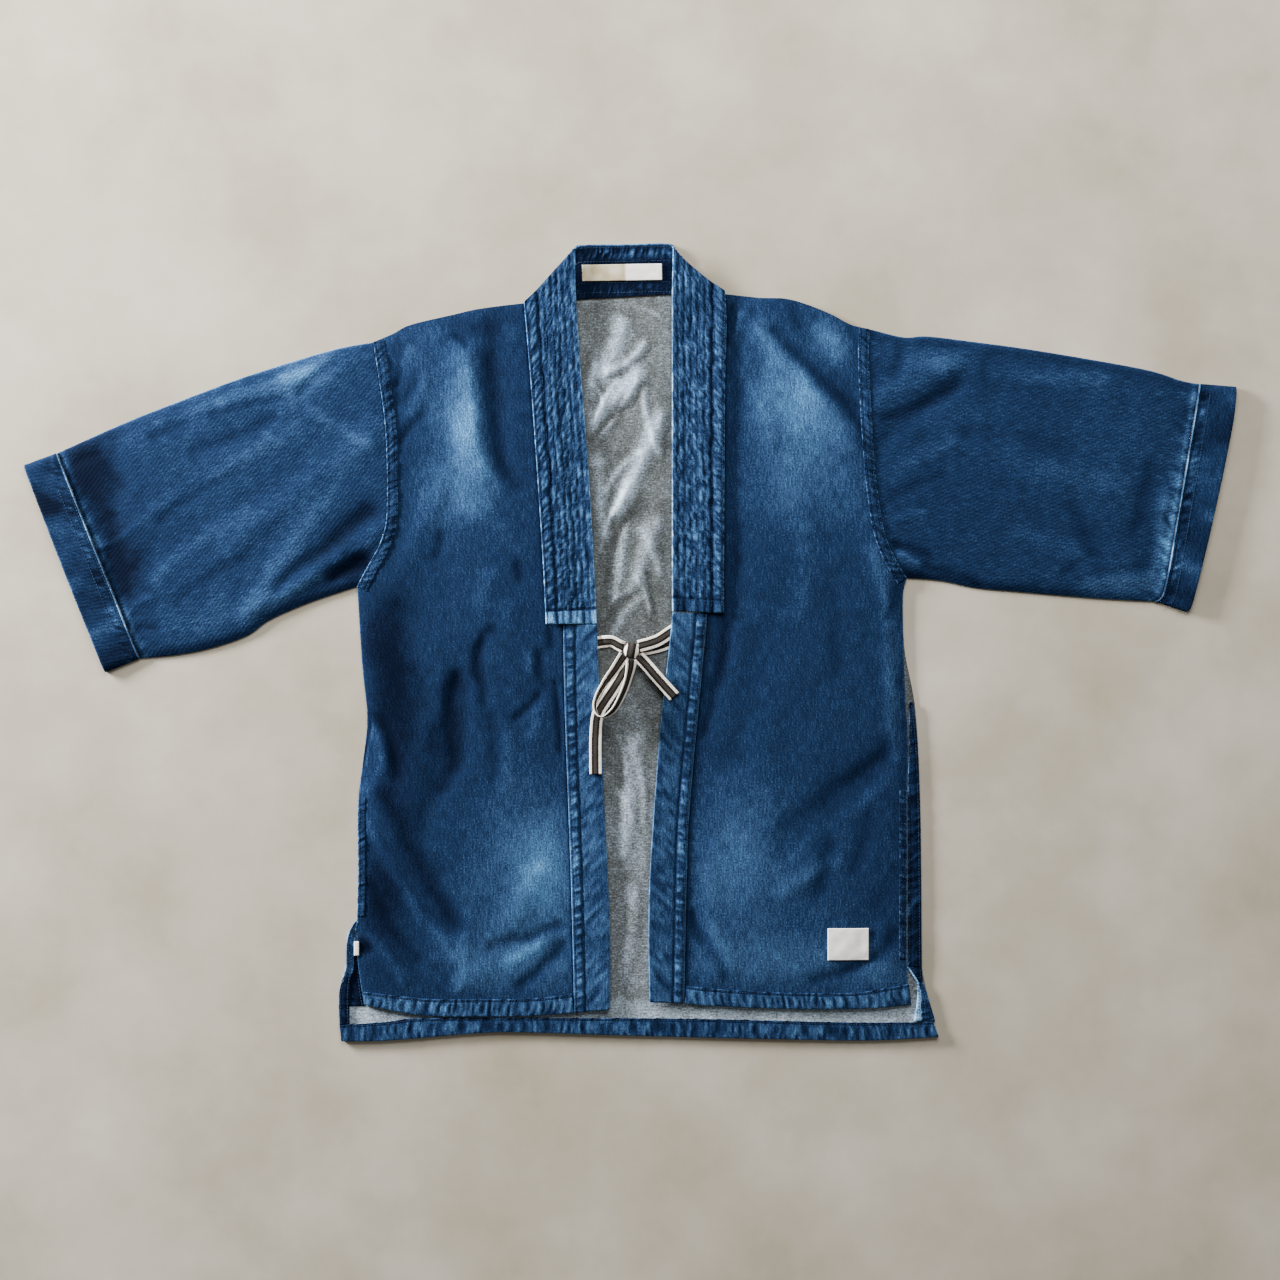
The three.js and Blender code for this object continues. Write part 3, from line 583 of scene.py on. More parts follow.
def sewn_strip(
    name, inner, outer, under, thick, full, lively, pitch, slant, seed, tone, pale, dark, step=1.5
):
    """A turned edge or felled seam on what lies under it: rolled at its sides, and puckered by its stitches.

    Pale is the wear along its inner and its outer edge, and where it is negative a painted shade line there;
    dark is the painted shade in its stitched row at the inner and at the outer edge.
    """
    strip = Strip(name, inner, outer, step)
    ridges = pucker(strip.run, strip.across, pitch, slant, seed)
    rows = [bell(off - SEW_IN) for off in (strip.across, strip.from_outer)]
    sunk = sum(row * (shade > 0) for row, shade in zip(rows, dark))
    swell = rolled(strip.rim) * (full + lively * ridges - SEWN_DEPTH * sunk)
    raise_cloth(strip.cloth, strip.plan, under(strip.plan) + thick + swell)
    edges = [worn_line(off, strip.run, seed + 2) for off in (strip.across, strip.from_outer)]
    wear_and_shade = tone + RIDGE_TONE * ridges
    for row, shade, edge, edge_wear_and_shade in zip(rows, dark, edges, pale):
        # Painted shade darkens the stitched rows; a negative pale paints a shade line along that edge.
        wear_and_shade = wear_and_shade - shade * row * (1 + 0.5 * ridges) + edge_wear_and_shade * edge
    note(strip.cloth, "wear_and_shade", wear_and_shade)
    lay_grain(strip.cloth, strip.plan, 90)
    thicken(strip.cloth, thick, denim)
    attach(strip.cloth, "root")
    sewn = [strip.row(off) for off, shade in zip((SEW_IN, -SEW_IN), dark) if shade > 0]
    return [strip.cloth, sew(strip.cloth, sewn)]


FRONT_BASE = CLOTH + GAP  # height of what lies on the back
TUCKED = 0.2  # the thin strips lie this much lower, under the edges beside them
back_trim = sewn_strip(
    "back_hem_fold",
    line([(-290.6, -382.8), *BACK_HEM_STITCH[1:]]),
    line([(-288.8, -399), *BACK_HEM[1:]]),
    under=lambda plan: FRONT_BASE,
    thick=HEM_RISE,
    full=0.35,
    lively=0.45,
    pitch=2.7,
    slant=0.2,
    seed=11,
    tone=0.40,
    step=1.2,
    # The negative pale paints a shade line along the hem's stitched edge.
    pale=(-0.2, 0.3),
    dark=(0.34, 0),
)
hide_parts("back_hem")
# A strip's name, its lines, the node that it replaces, its tone, its two worn edges, its seed, its
# thickness and what it lies on.
for name, vent, node_name, tone_there, pale_there, seed, thick, base in [
    # The right vent's fold and its underlap get the darkest tones: unworn navy, and painted shade inside the
    # vent.
    ("right_vent_fold", RIGHT_VENT, "right_vent_facing", 0.02, (0, 0.7), 15, CLOTH, FRONT_BASE),
    ("left_vent_fold", LEFT_VENT, "left_vent_facing", 0.40, (0.2, 0.3), 14, CLOTH, FRONT_BASE),
    ("left_side_fold", RETURN, "left_side_return", 0.17, (0.30, 0.1), 19, CLOTH, FRONT_BASE),
    ("right_side_fold", SIDE_FOLD, None, 0.38, (0.5, 0.4), 17, 1.1, FRONT_BASE),
    ("right_vent_underlap", UNDERLAP, None, 0.0, (0, 0), 21, 0.3, FRONT_BASE - TUCKED),
    ("left_side_fold_end", RETURN_END, None, 0.12, (0, 0), 23, 0.8, FRONT_BASE - TUCKED),
    ("left_vent_edge", LEFT_VENT_EDGE, None, 1.05, (0, 0), 25, 0.9, FRONT_BASE - TUCKED),
]:
    fold = sewn_strip(
        name,
        line(vent["inner"]),
        line(vent["outer"]),
        under=lambda plan: base,
        thick=thick,
        full=0.35,
        lively=0.3,
        pitch=3,
        slant=0.5,
        seed=seed,
        tone=tone_there,
        pale=pale_there,
        dark=(0.12, 0.12),
    )
    if node_name:
        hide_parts(node_name)
    back_trim += fold

# The collar behind the neck: the same stitched double strip as in front, lying inner face up, with its
# long edges folded in and topstitched close to them.
NECK_COLLAR = 2.2
NECK_SIZE = (180, 50)  # middle width and length of the strip
NECK_ROWS = (3, 17, 38, 48)  # rows of stitching, from its top fold
NECK_GATHERS = (9, 46)  # middles of the two gathered strips, from its top fold
COLLAR_FOLD = {
    "right": [(-106, 340.2), (-93, 352.5), (-70, 377.5), (-54.5, 394)],
    "left": [(95, 351.3), (75.5, 364.5), (53, 383.5), (43, 395)],
}
COLLAR_TOP = [(-54.5, 394), (-47, 397.5), (-5, 398.2), (36, 399), (43, 395)]
lower_edge = [(-106, 340.5), (95, 351.6)]
neck_strip, u, v = grid(
    "neck_collar_cloth", spread(NECK_SIZE[0], 1.1, 0.5), spread(NECK_SIZE[1], 1.4, 0.4)
)
neck_plan = patch(
    u,
    v,
    start=line(COLLAR_FOLD["right"][::-1]) + (0, GAP),
    end=line(COLLAR_FOLD["left"][::-1]) + (0, GAP),
    first=line(COLLAR_TOP) + (0, GAP),
    last=line(lower_edge),
)
from_top = distance(neck_plan, line(COLLAR_TOP))
ridges = pucker(neck_plan[:, 0], from_top, 1.9, 0.25, 31, reach=6)
gathered = sum(bell(from_top - middle, 6) for middle in NECK_GATHERS)
swell = rolled(from_top) * (0.4 * ridges * gathered + 0.15 * soft_noise(*neck_plan.T / 14, 5))
raise_cloth(neck_strip, neck_plan, NECK_COLLAR - 0.5 + 0.5 * rolled(from_top) + swell)
# The top fold is worn pale, and painted shade darkens the two middle stitched rows and the wearer's right
# end.
worn_edge = 0.75 * bell(from_top, 1.3) - 0.12 * sum(bell(from_top - row) for row in NECK_ROWS[1:3])
shaded_end = 0.16 * smooth(-10, -50, neck_plan[:, 0])
tone_there = 0.01 + 0.20 * bell(from_top - NECK_GATHERS[0], 7) + worn_edge - shaded_end
note(neck_strip, "wear_and_shade", tone_there + 0.55 * ridges * gathered)
lay_grain(neck_strip, neck_plan, 0)
thicken(neck_strip, NECK_COLLAR - 0.6, denim)
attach(neck_strip, "root")
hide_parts("back_neck_collar")
neck_thread = sew(neck_strip, [line(COLLAR_TOP) - (0, row) for row in NECK_ROWS])

# The label at the neck: a strip of off-white woven cotton, its ends turned under, stitched down round
# its edge. It is left blank.
label_cotton, tree, surface = new_material("woven_label_cotton", roughness=0.75, specular=0.3)
object_place = node(tree, "TexCoord").outputs["Object"]
threads = node(tree, "Mapping", {"Vector": object_place, "Scale": (1 / 0.004, 1 / 0.0012, 1)})
thread_lines = node(tree, "TexNoise", {"Vector": threads.outputs[0], "Scale": 1.0, "Detail": 2.0})
tone = node(tree, "ValToRGB", {"Fac": thread_lines.outputs[0]})
set_stops(tone.color_ramp, [(0, "#f8f4ea"), (1, "#ffffff")])
unbleached = node(tree, "Attribute", attribute_name="unbleached").outputs["Fac"]
cotton = node(
    tree,
    "MixRGB",
    {"Fac": unbleached, "Color1": tone.outputs["Color"], "Color2": linear("#b3a788")},
    blend_type="MULTIPLY",
)
tree.links.new(cotton.outputs[0], surface.inputs["Base Color"])
weave = node(tree, "Bump", {"Strength": 0.4, "Distance": 0.0002, "Height": thread_lines.outputs[0]})
tree.links.new(weave.outputs["Normal"], surface.inputs["Normal"])


def sewn_label(name, x, y, width, length, turn, thick, base, tan=0):
    """A woven label on the surface whose height is given: pulled down at its sewn edge, full in the middle.

    Tan is the share of its width that is unbleached cotton.
    """
    label, u, v = grid(name, spread(width, 1.5, 0.4), spread(length, 1.5, 0.4))
    angle = math.radians(turn)
    flat = np.column_stack([(u - 0.5) * width, (v - 0.5) * length])
    rotation = np.array([[math.cos(angle), math.sin(angle)], [-math.sin(angle), math.cos(angle)]])
    plan = flat @ rotation + (x, y)
    rim = np.minimum.reduce([u * width, (1 - u) * width, v * length, (1 - v) * length])
    full = 0.5 + 0.5 * rolled(rim, 0.8) + 0.15 * soft_noise(*plan.T / 7, 9) * smooth(0, 3, rim)
    sewn = 0.22 * bell(rim - 1.5, 0.5)
    raise_cloth(label, plan, base(plan) + GAP + thick * (full - sewn))
    join = np.where(u < tan, 0.9, 0) + 0.25 * soft_noise(*plan.T / 6, 13) + 0.5 * bell((u - tan) * width, 0.8)
    note(label, "unbleached", np.clip(join * (tan > 0), 0, 1))
    thicken(label, 0.4, label_cotton)
    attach(label, "root")
    return label


LABEL = 1.0  # a folded label's thickness
neck_label = sewn_label(
    "neck_label_cotton", -8, 370, 80, 16.5, 0.9, LABEL, lambda plan: NECK_COLLAR, tan=0.54
)
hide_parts("neck_label")

# The two fronts lie on the back. They stand off it between their seams, in the folds that the jacket
# fell into, with the wear that follows them, pale on the ridges, and painted shade, dark in the hollows.
SIDE = {
    "right": [
        (-273, 56), (-268, -22), (-263, -75), (-267, -118), (-272, -160), (-272, -235), (-273, -310),
        (-266, -362),
    ],
    "left": [
        (277, 64.5), (273, 42.5), (275, -45), (278, -100), (277, -148), (277, -217), (277, -325),
        (281.5, -362),
    ],
}
COLLAR_SEAM = {
    "right": [(-106, 340.2), (-98.5, 251), (-88, 98), (-84, 18.5)],
    "left": [(95, 351.3), (96.5, 316), (95, 251), (94, 98), (94, 29.5)],
}
FRONT_HEM = {
    "right": [(-266, -362), (-244, -367), (-200, -373.5), (-126, -374), (-85, -372.5), (-56, -370)],
    "left": [(281.5, -362), (253, -365), (221, -366.5), (169, -366.5), (116, -365), (74, -363), (54.5, -361)],
}
BAND_SEAM = {
    "right": [
        (-89, 340.2), (-81.5, 251), (-71, 98), (-67, 17.8), (-65.5, -65), (-60, -217), (-57.5, -304),
        (-56, -370),
    ],
    "left": [(78, 348.6), (77.5, 251), (77, 98), (77.5, 29), (71, -44), (60, -165), (57, -235), (54.5, -361)],
}
SLEEVE_TOP = {
    "right": [(-257.4, 299), (-293, 294), (-335, 282), (-391, 264), (-447, 243), (-503, 221), (-572.5, 190)],
    "left": [
        (240.4, 312.5), (274, 305.5), (297, 306.5), (344, 301), (409, 292), (512, 274), (552, 262),
        (569, 259),
    ],
}
SLEEVE_UNDER = {
    "right": [(-273.4, 56), (-321, 40), (-360, 23), (-383, 7), (-417, -5), (-450, -12), (-490, -16)],
    "left": [(277.4, 64.5), (310, 62), (344, 55), (386, 51), (470, 44), (525, 41)],
}
CUFF_SEAM = {
    "right": [(-572.5, 190), (-532, 88), (-490, -16)],
    "left": [(569, 259), (563, 222), (546.5, 124), (534, 54), (525, 41)],
}
TOP_CREASES = [
    (-168, 282, -152, 137, 0, 16, 1.6),  # right front, chest ridge
    (-152, 137, -105, 92, 0, 14, 1.0),
    (-138, 322, -125, 172, 0, 12, -1.0),
    (-225, 292, -235, 232, 0, 9, -0.9),
    (-240, 52, -185, 162, 0, 14, 1.0),
    (-230, 22, -235, -118, 0, 22, -1.1),
    (-175, -48, -205, -188, 0, 13, -0.9),
    (-262, -148, -150, -288, 0, 16, 1.4),
    (-258, -208, -200, -283, 0, 14, -1.2),
    (-90, -228, -160, -343, 0, 14, 0.9),
    (122, 328, 220, 202, 0, 14, 1.5),  # left front, ridge off the shoulder
    (182, 312, 228, 242, 0, 9, -0.8),
    (145, 242, 170, 122, 0, 20, 0.9),
    (265, 52, 220, 162, 0, 12, 0.9),
    (130, 2, 105, -118, 0, 14, -0.8),
    (273, -100, 160, -200, 0, 18, -1.0),
    (255, -257, 220, -332, 0, 12, -0.8),
    (80, -207, 85, -337, 0, 12, 0.7),
    (38, 11, 52, 8, 0, 16, 1.9),  # left band, over the tapes that run under it
    (-278, 286, -430, 227, 0, 14, 1.0),  # right sleeve
    (-246, 115, -380, 30, 0, 9, 1.3),
    (-265, 82, -310, 57, 0, 10, -1.1),
    (-254, 212, -400, 97, 0, 14, 0.9),
    (-330, 172, -480, 82, 0, 16, -0.6),
    (-518, 210, -510, 42, 0, 13, -1.0),
    (246, 197, 335, 266, 0, 9, -1.0),  # left sleeve
    (250, 242, 355, 297, 0, 13, 1.0),
    (270, 82, 320, 57, 0, 9, 1.1),
    (330, 52, 500, 82, 0, 16, 0.8),
    (535, 122, 520, 42, 0, 10, -0.8),
    (370, 192, 490, 122, 0, 20, 0.7),
]
FINE_CREASES = [
    (-167, 292, -162, 259, 0, 10, 0.5),  # right front: the pale ridge down the chest
    (-162, 259, -158, 213, 2, 11, 0.6),
    (-158, 213, -148, 180, 0, 11, 0.6),
    (-148, 180, -126, 150, 2, 9, 0.6),
    (-143, 290, -137, 228, 0, 10, -0.9),  # and the hollow beside it
    (-137, 228, -132, 186, 0, 9, -0.9),
    (-132, 186, -108, 152, -3, 9, -1.0),
    (-274, -306, -258, -307, 0, 4.5, -1.8),  # pulled in beside the tab
    (-178, 307, -162, 295, 2, 4, -1.1),
    (-219, 297, -238, 262, 3, 5, 0.7),
    (-228, 276, -236, 255, 0, 4, -0.8),
    (-203, 267, -221, 226, 3, 5, 0.6),
    (-232, 197, -203, 229, 2, 5, -0.7),
    (-226, 240, -212, 262, 0, 4, -0.6),
    (-188, 112, -195, 80, 2, 5, -0.7),
    (-113, 80, -108, 58, 0, 5, -0.9),
    (-134, 74, -150, 30, -3, 8, 0.5),
    (-131, 14, -149, 1, -2, 6, -0.9),  # hollows over the ribs
    (-149, 1, -146, -46, -4, 6, -1.4),
    (-146, -46, -146, -66, 0, 5, -0.8),
    (-171, -28, -178, -72, -3, 7, -1.5),
    (-178, -72, -174, -118, -2, 9, -1.6),
    (-194, -84, -198, -112, 0, 7, -0.6),
    (-214, -20, -208, -70, 3, 8, -0.6),
    (-166, -34, -172, -130, 2, 7, -0.8),
    (-174, -118, -190, -150, 2, 8, -0.9),
    (-100, -5, -98, -34, 0, 6, 0.6),
    (-90, -8, -91, -32, 0, 5, -0.8),
    (-91, -32, -82, -46, 0, 4, -0.7),
    (-90, -48, -101, -65, 2, 4, -0.9),
    (-101, -65, -117, -79, 0, 4, -0.8),
    (-91, -60, -96, -98, 0, 7, 0.6),
    (-80, 12, -77, -8, 0, 4, -0.9),
    (-75, -38, -69, -112, 1, 3, -1.1),
    (-120, -90, -124, -150, 2, 8, 0.5),
    (-140, -70, -136, -140, 2, 7, -0.5),
    (-258.6, -77, -267.4, -125, 0, 1.1, -1.9),  # the pocket's mouth in the side seam, and folds below it
    (-256.4, -78, -264.8, -124, 0, 1.2, 1.1),
    (-257, -84, -246, -132, 4, 6, 1.0),
    (-250, -72, -232, -140, 5, 6, -1.0),
    (-250, -148, -222, -200, 3, 11, -1.5),
    (-222, -200, -194, -248, 2, 12, -1.6),
    (-194, -248, -172, -288, 2, 10, -1.4),
    (-268, -172, -249, -210, 2, 6, 0.8),
    (-249, -210, -207, -279, 2, 6, 1.0),
    (-207, -279, -172, -318, 2, 7, 0.9),
    (-264, -238, -240, -286, 4, 8, -0.9),
    (-240, -286, -210, -322, 3, 7, -0.8),
    (-265, -292, -224, -343, 4, 6, 0.9),
    (-66, -282, -102, -298, -2, 5, -0.9),
    (-102, -298, -142, -306, -3, 6, -0.8),
    (-64, -300, -113, -346, 2, 6, -1.1),
    (-84, -296, -128, -322, 3, 6, 0.7),
    (-169, -290, -173, -350, 6, 6, 0.7),
    (-124, 318, -112, 300, 0, 5, 0.6),
    (122, 336, 124, 326, 0, 4, -1.0),  # left front, ridge off the shoulder
    (112, 332, 104, 302, 0, 4, 0.6),
    (103, 338, 98, 296, 0, 4, -1.0),
    (127, 314, 150, 282, 2, 8, 0.7),
    (150, 282, 182, 248, 3, 10, 0.8),
    (182, 248, 212, 208, 4, 8, 0.4),
    (140, 314, 162, 292, 1, 6, -1.0),  # and the hollow behind it
    (162, 292, 194, 262, 1, 7, -1.3),
    (194, 262, 226, 228, 1, 7, -1.4),
    (226, 228, 238, 198, 2, 6, -1.2),
    (182, 322, 214, 280, 4, 12, 0.9),
    (218, 316, 234, 270, 2, 4, -0.6),
    (160, 338, 172, 312, 0, 5, -0.7),
    (142, 240, 150, 190, 3, 6, -0.4),
    (98, 22, 84, -48, 4, 7, -1.1),
    (84, -48, 72, -96, 2, 5, -0.8),
    (244, 96, 258, 40, -3, 6, 0.6),
    (258, 40, 266, -120, -3, 6, 0.7),
    (268, 60, 258, 20, 0, 5, -0.7),
    (262, -104, 214, -140, 3, 8, -0.7),
    (214, -140, 150, -182, 3, 9, -0.4),
    (262, -132, 214, -176, 2, 7, 0.5),
    (198, -196, 188, -256, 3, 9, -0.8),
    (240, -170, 222, -232, 3, 8, -0.6),
    (147, -256, 212, -218, 4, 8, 0.6),
    (60, -268, 76, -302, -2, 5, -1.0),
    (76, -302, 98, -338, 2, 5, -0.9),
    (80, -280, 104, -330, 3, 6, 0.6),
    (268, -286, 238, -319, 4, 7, -1.0),
    (238, -319, 180, -338, 3, 6, -0.8),
    (110, 120, 104, 60, 2, 9, -0.4),
    (176, 120, 168, 20, 3, 10, 0.4),
    (200, 60, 206, -40, 3, 9, -0.4),
    (-384, 22, -337, 92, 3, 12, 0.6),  # right sleeve
    (-337, 92, -298, 146, 3, 12, 0.7),
    (-298, 146, -260, 206, 2, 11, 0.4),
    (-356, 50, -300, 96, 3, 7, -1.2),
    (-300, 96, -252, 136, 3, 9, -1.4),
    (-354, 40, -308, 66, 2, 6, 0.8),
    (-308, 66, -256, 100, 2, 5, 0.6),
    (-302, 64, -260, 82, 2, 7, -1.4),
    (-286, 92, -254, 68, 0, 5, -0.8),
    (-252, 196, -322, 236, 4, 6, 0.6),
    (-480, 204, -400, 232, 2, 6, -0.8),
    (-400, 232, -345, 244, 2, 5, -0.7),
    (-332, 248, -292, 282, 2, 5, -0.9),
    (-560, 176, -528, 190, 2, 5, -0.8),
    (-534, 118, -512, 128, 2, 4, -0.8),
    (-528, 96, -500, 112, -2, 4, 0.7),
    (-516, 66, -490, 74, 2, 4, -0.8),
    (-505, 30, -476, 46, 2, 4, 0.7),
    (-496, 10, -470, 14, 2, 4, -0.7),
    (-350, 262, -300, 288, -3, 8, 0.8),
    (-440, 190, -352, 226, -3, 6, -0.6),
    (-420, 160, -330, 214, 4, 9, 0.5),
    (-470, 120, -390, 170, 4, 6, -0.5),
    (-480, 60, -380, 132, 4, 9, 0.5),
    (-455, 40, -385, 84, 3, 6, -0.5),
    (-500, 110, -450, 150, 2, 7, 0.4),
    (-548, 186, -530, 132, 2, 10, -0.7),
    (-530, 132, -500, 40, 3, 9, -0.6),
    (-536, 186, -500, 150, 0, 8, -0.5),
    (250, 222, 332, 258, -3, 6, -0.9),  # left sleeve
    (246, 250, 300, 292, -4, 8, 0.3),
    (262, 98, 304, 84, 2, 5, -1.1),
    (268, 90, 292, 76, 0, 4, 0.9),
    (292, 76, 352, 58, 2, 5, -1.0),
    (262, 120, 300, 130, 2, 4, 0.6),
    (258, 142, 318, 168, 2, 5, -0.6),
    (262, 168, 330, 200, 3, 8, 0.5),
    (300, 280, 480, 262, -4, 9, 0.6),
    (352, 262, 362, 292, 0, 6, -0.5),
    (330, 210, 440, 190, 5, 10, -0.4),
    (400, 170, 500, 150, 6, 12, 0.4),
    (380, 110, 470, 76, 5, 8, 0.5),
    (440, 140, 470, 70, 3, 8, -0.5),
    (536, 150, 524, 62, 2, 8, 0.9),
    (520, 180, 505, 110, 3, 8, -0.5),
    (452, 56, 520, 62, 3, 6, 0.7),
    (430, 66, 470, 90, 2, 6, -0.6),
    (535, 128, 542, 112, 0, 3, -1.0),
    (270, 292, 262, 262, 2, 5, -0.6),
]
PUFF = 2.2  # how far the top layer stands off between its edges
MOST_LIFT = 3.5  # the highest of the main folds
RIM_RUN = 12  # over this distance it rises from a side fold or seam
CALM_RUN = 60  # and over this distance from the stiff bands and hems
CALM_SHARE = 0.35  # how much of the puff is left beside those
LIFT_EDGES = (SHOULDER, SIDE, SLEEVE_TOP, SLEEVE_UNDER)
STIFF_EDGES = (BAND_SEAM, FRONT_HEM, CUFF_SEAM)
outlines = {side: [line(table[side]) for table in LIFT_EDGES] for side in SIDES}
stiff_lines = {side: [line(table[side]) for table in STIFF_EDGES] for side in SIDES}


def lift(plan, side):
    """How far the top layer's underside stands above its lowest place."""
    rim = 1 - np.exp(-np.minimum.reduce([distance(plan, edge) for edge in outlines[side]]) / RIM_RUN)
    near = np.minimum.reduce([distance(plan, edge) for edge in stiff_lines[side]])
    calm = CALM_SHARE + (1 - CALM_SHARE) * smooth(0, CALM_RUN, near)
    form = np.clip(rim * (PUFF * calm + creases(plan, TOP_CREASES)), 0, MOST_LIFT)
    x, y = plan.T
    drift = 0.25 * soft_noise(x / 23, y / 31, 3) + 0.12 * soft_noise(x / 9, y / 13, 4)
    small = rim * (0.9 * creases(plan, FINE_CREASES, joined=True) + drift * (0.4 + 0.6 * calm))
    return np.maximum(form + small, 0)


def wear_and_shade_ovals(plan, rows, seed):
    """Soft ovals with ragged edges: pale ones are wear, and dark ones are partly unworn indigo and partly
    painted shade. A row is a centre, two half sizes, a turn and an amount.
    """
    x, y = plan.T
    shift = [soft_noise(x / 26, y / 40, draw) for draw in (seed, seed + 1)]
    ragged = plan + 9 * np.column_stack(shift)
    total = np.zeros(len(plan))
    for centre_x, centre_y, half_x, half_y, turn, amount in rows:
        angle = math.radians(turn)
        off = ragged - (centre_x, centre_y)
        wide = (off[:, 0] * math.cos(angle) + off[:, 1] * math.sin(angle)) / half_x
        high = (off[:, 1] * math.cos(angle) - off[:, 0] * math.sin(angle)) / half_y
        total += amount * np.exp(-(wide**2) - high**2)
    return total


# Negative amounts are dark patches, partly unworn indigo and partly painted shade.
FRONT_WEAR_AND_SHADE = {
    "right": [
        (-174, 205, 36, 80, 0, 0.20),
        (-166, 214, 18, 50, 4, 0.15),
        (-265, -306, 7, 6, 0, -0.40),
        (-142, 166, 14, 22, 30, 0.09),
        (-162, 138, 48, 26, 0, 0.08),
        (-200, 306, 16, 10, 0, 0.10),
        (-218, 280, 20, 22, -20, 0.08),
        (-236, 150, 14, 60, 0, -0.08),
        (-138, 245, 12, 70, 3, -0.08),
        (-150, 320, 32, 12, 10, -0.14),
        (-84, -222, 30, 62, 0, 0.22),
        (-108, -232, 58, 84, 0, 0.21),
        (-115, -325, 66, 30, 0, 0.22),
        (-250, -262, 20, 60, 0, -0.24),
        (-196, -250, 24, 60, 30, -0.06),
        (-240, -40, 22, 70, 0, -0.17),
        (-246, 10, 20, 75, 0, -0.16),
        (-232, -80, 18, 55, 0, -0.10),
        (-256, -105, 8, 30, -10, 0.12),
        (-215, -140, 30, 50, 0, -0.10),
        (-150, 45, 40, 50, 0, 0.03),
    ],
    "left": [
        (162, 220, 42, 72, 34, 0.26),
        (168, 236, 20, 40, 38, 0.13),
        (140, 285, 12, 34, 25, 0.06),
        (156, 150, 60, 36, 0, 0.08),
        (198, 300, 26, 26, 40, 0.17),
        (105, 250, 10, 80, 0, -0.10),
        (106, -212, 30, 62, 0, 0.14),
        (128, -222, 72, 76, 0, 0.13),
        (160, -318, 110, 30, 0, 0.20),
        (250, -330, 30, 30, 0, 0.12),
        (263, -20, 8, 110, 0, 0.10),
        (225, -145, 36, 28, -20, -0.04),
        (92, 0, 12, 60, 0, -0.08),
    ],
}
FRONT_TONE = {"right": 0.33, "left": 0.35}
FRONT_SIZE = (212, 690)  # width and length of a front between its seams
# It also darkens each millimetre of hollow by as much, as painted shade.
FOLD_WEAR_AND_SHADE = 0.17  # how much paler each millimetre of ridge is


def wear_and_hollow_shade(plan):
    """Pale wear on the ridges of the folds, and painted shade, dark, in the hollows."""
    return FOLD_WEAR_AND_SHADE * (creases(plan, FINE_CREASES, joined=True) + 0.3 * creases(plan, TOP_CREASES))


def panel_top(plan, side):
    return FRONT_BASE + lift(plan, side) + CLOTH


for side in SIDES:
    columns, rows = (spread(size, step, 0.7) for size, step in zip(FRONT_SIZE, (2.7, 2.8)))
    front, u, v = grid(f"{side}_front_cloth", columns, rows)
    plan = patch(
        u,
        v,
        start=line(ARMHOLE[side], SIDE[side]),
        end=line(BAND_SEAM[side]),
        first=line(SHOULDER[side]),
        last=line(FRONT_HEM[side]),
    )
    raise_cloth(front, plan, panel_top(plan, side))
    worn_edge = 0.3 * worn_line(distance(plan, line(SIDE[side])), plan[:, 1], 61)
    # Painted shadow: thin dark lines on the front beside the band and the collar, which stand above it.
    shadow_beside_band = 0.3 * bell(distance(plan, line(BAND_SEAM[side])), 1.5)
    shadow_beside_collar = 0.25 * bell(distance(plan, line(COLLAR_SEAM[side])), 2.0)
    worn_and_shaded = wear_and_shade_ovals(plan, FRONT_WEAR_AND_SHADE[side], 60) + wear_and_hollow_shade(plan) + worn_edge
    note(front, "wear_and_shade", FRONT_TONE[side] + worn_and_shaded - shadow_beside_band - shadow_beside_collar)
    lay_grain(front, plan, 90)
    thicken(front, CLOTH, denim, wrong_side)
    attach(front, "root")
    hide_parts(f"{side}_front_panel")

# Seams of the fronts: felled at the armholes and down the sides, and turned up at the hem. Each is a
# second layer of the cloth, sewn down in two rows that pull it into small cells or ribs.
FELL_WIDTH = 11
SIDE_FELL_WIDTH = 7.5
HEM_STITCH = {
    "right": [
        (-266.5, -349.3), (-220, -354.5), (-196, -356.5), (-155, -356.5), (-106, -356.1), (-63, -352.2),
        (-58.5, -351),
    ],
    "left": [
        (279, -341.5), (253, -345.9), (221.5, -350.1), (158, -350.1), (95, -346.9), (59.5, -343.5),
        (57, -343),
    ],
}
FELL_BELOW = {"right": (-279, -150), "left": (-325, -147)}  # the side fell's lower and upper end, in y


def inward(points, side, width):
    """The same line, moved this far towards the middle of the front."""
    step = np.gradient(points, axis=0)
    step /= np.linalg.norm(step, axis=1)[:, None]
    return points + SIGN[side] * width * np.column_stack([step[:, 1], -step[:, 0]])


# The patch near the left hem and the tab in the right side seam: the same off-white cotton, left blank.
hem_patch = sewn_label(
    "hem_patch_cotton", 218, -301.5, 41, 32, 0, LABEL, lambda plan: panel_top(plan, "left")
)
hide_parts("hem_patch")
TAB_BASE = FRONT_BASE + CLOTH + 0.4
side_tab = sewn_label("side_tab_cotton", -273.4, -306, 4.8, 14, 0, 0.7, lambda plan: TAB_BASE)
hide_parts("side_tab")

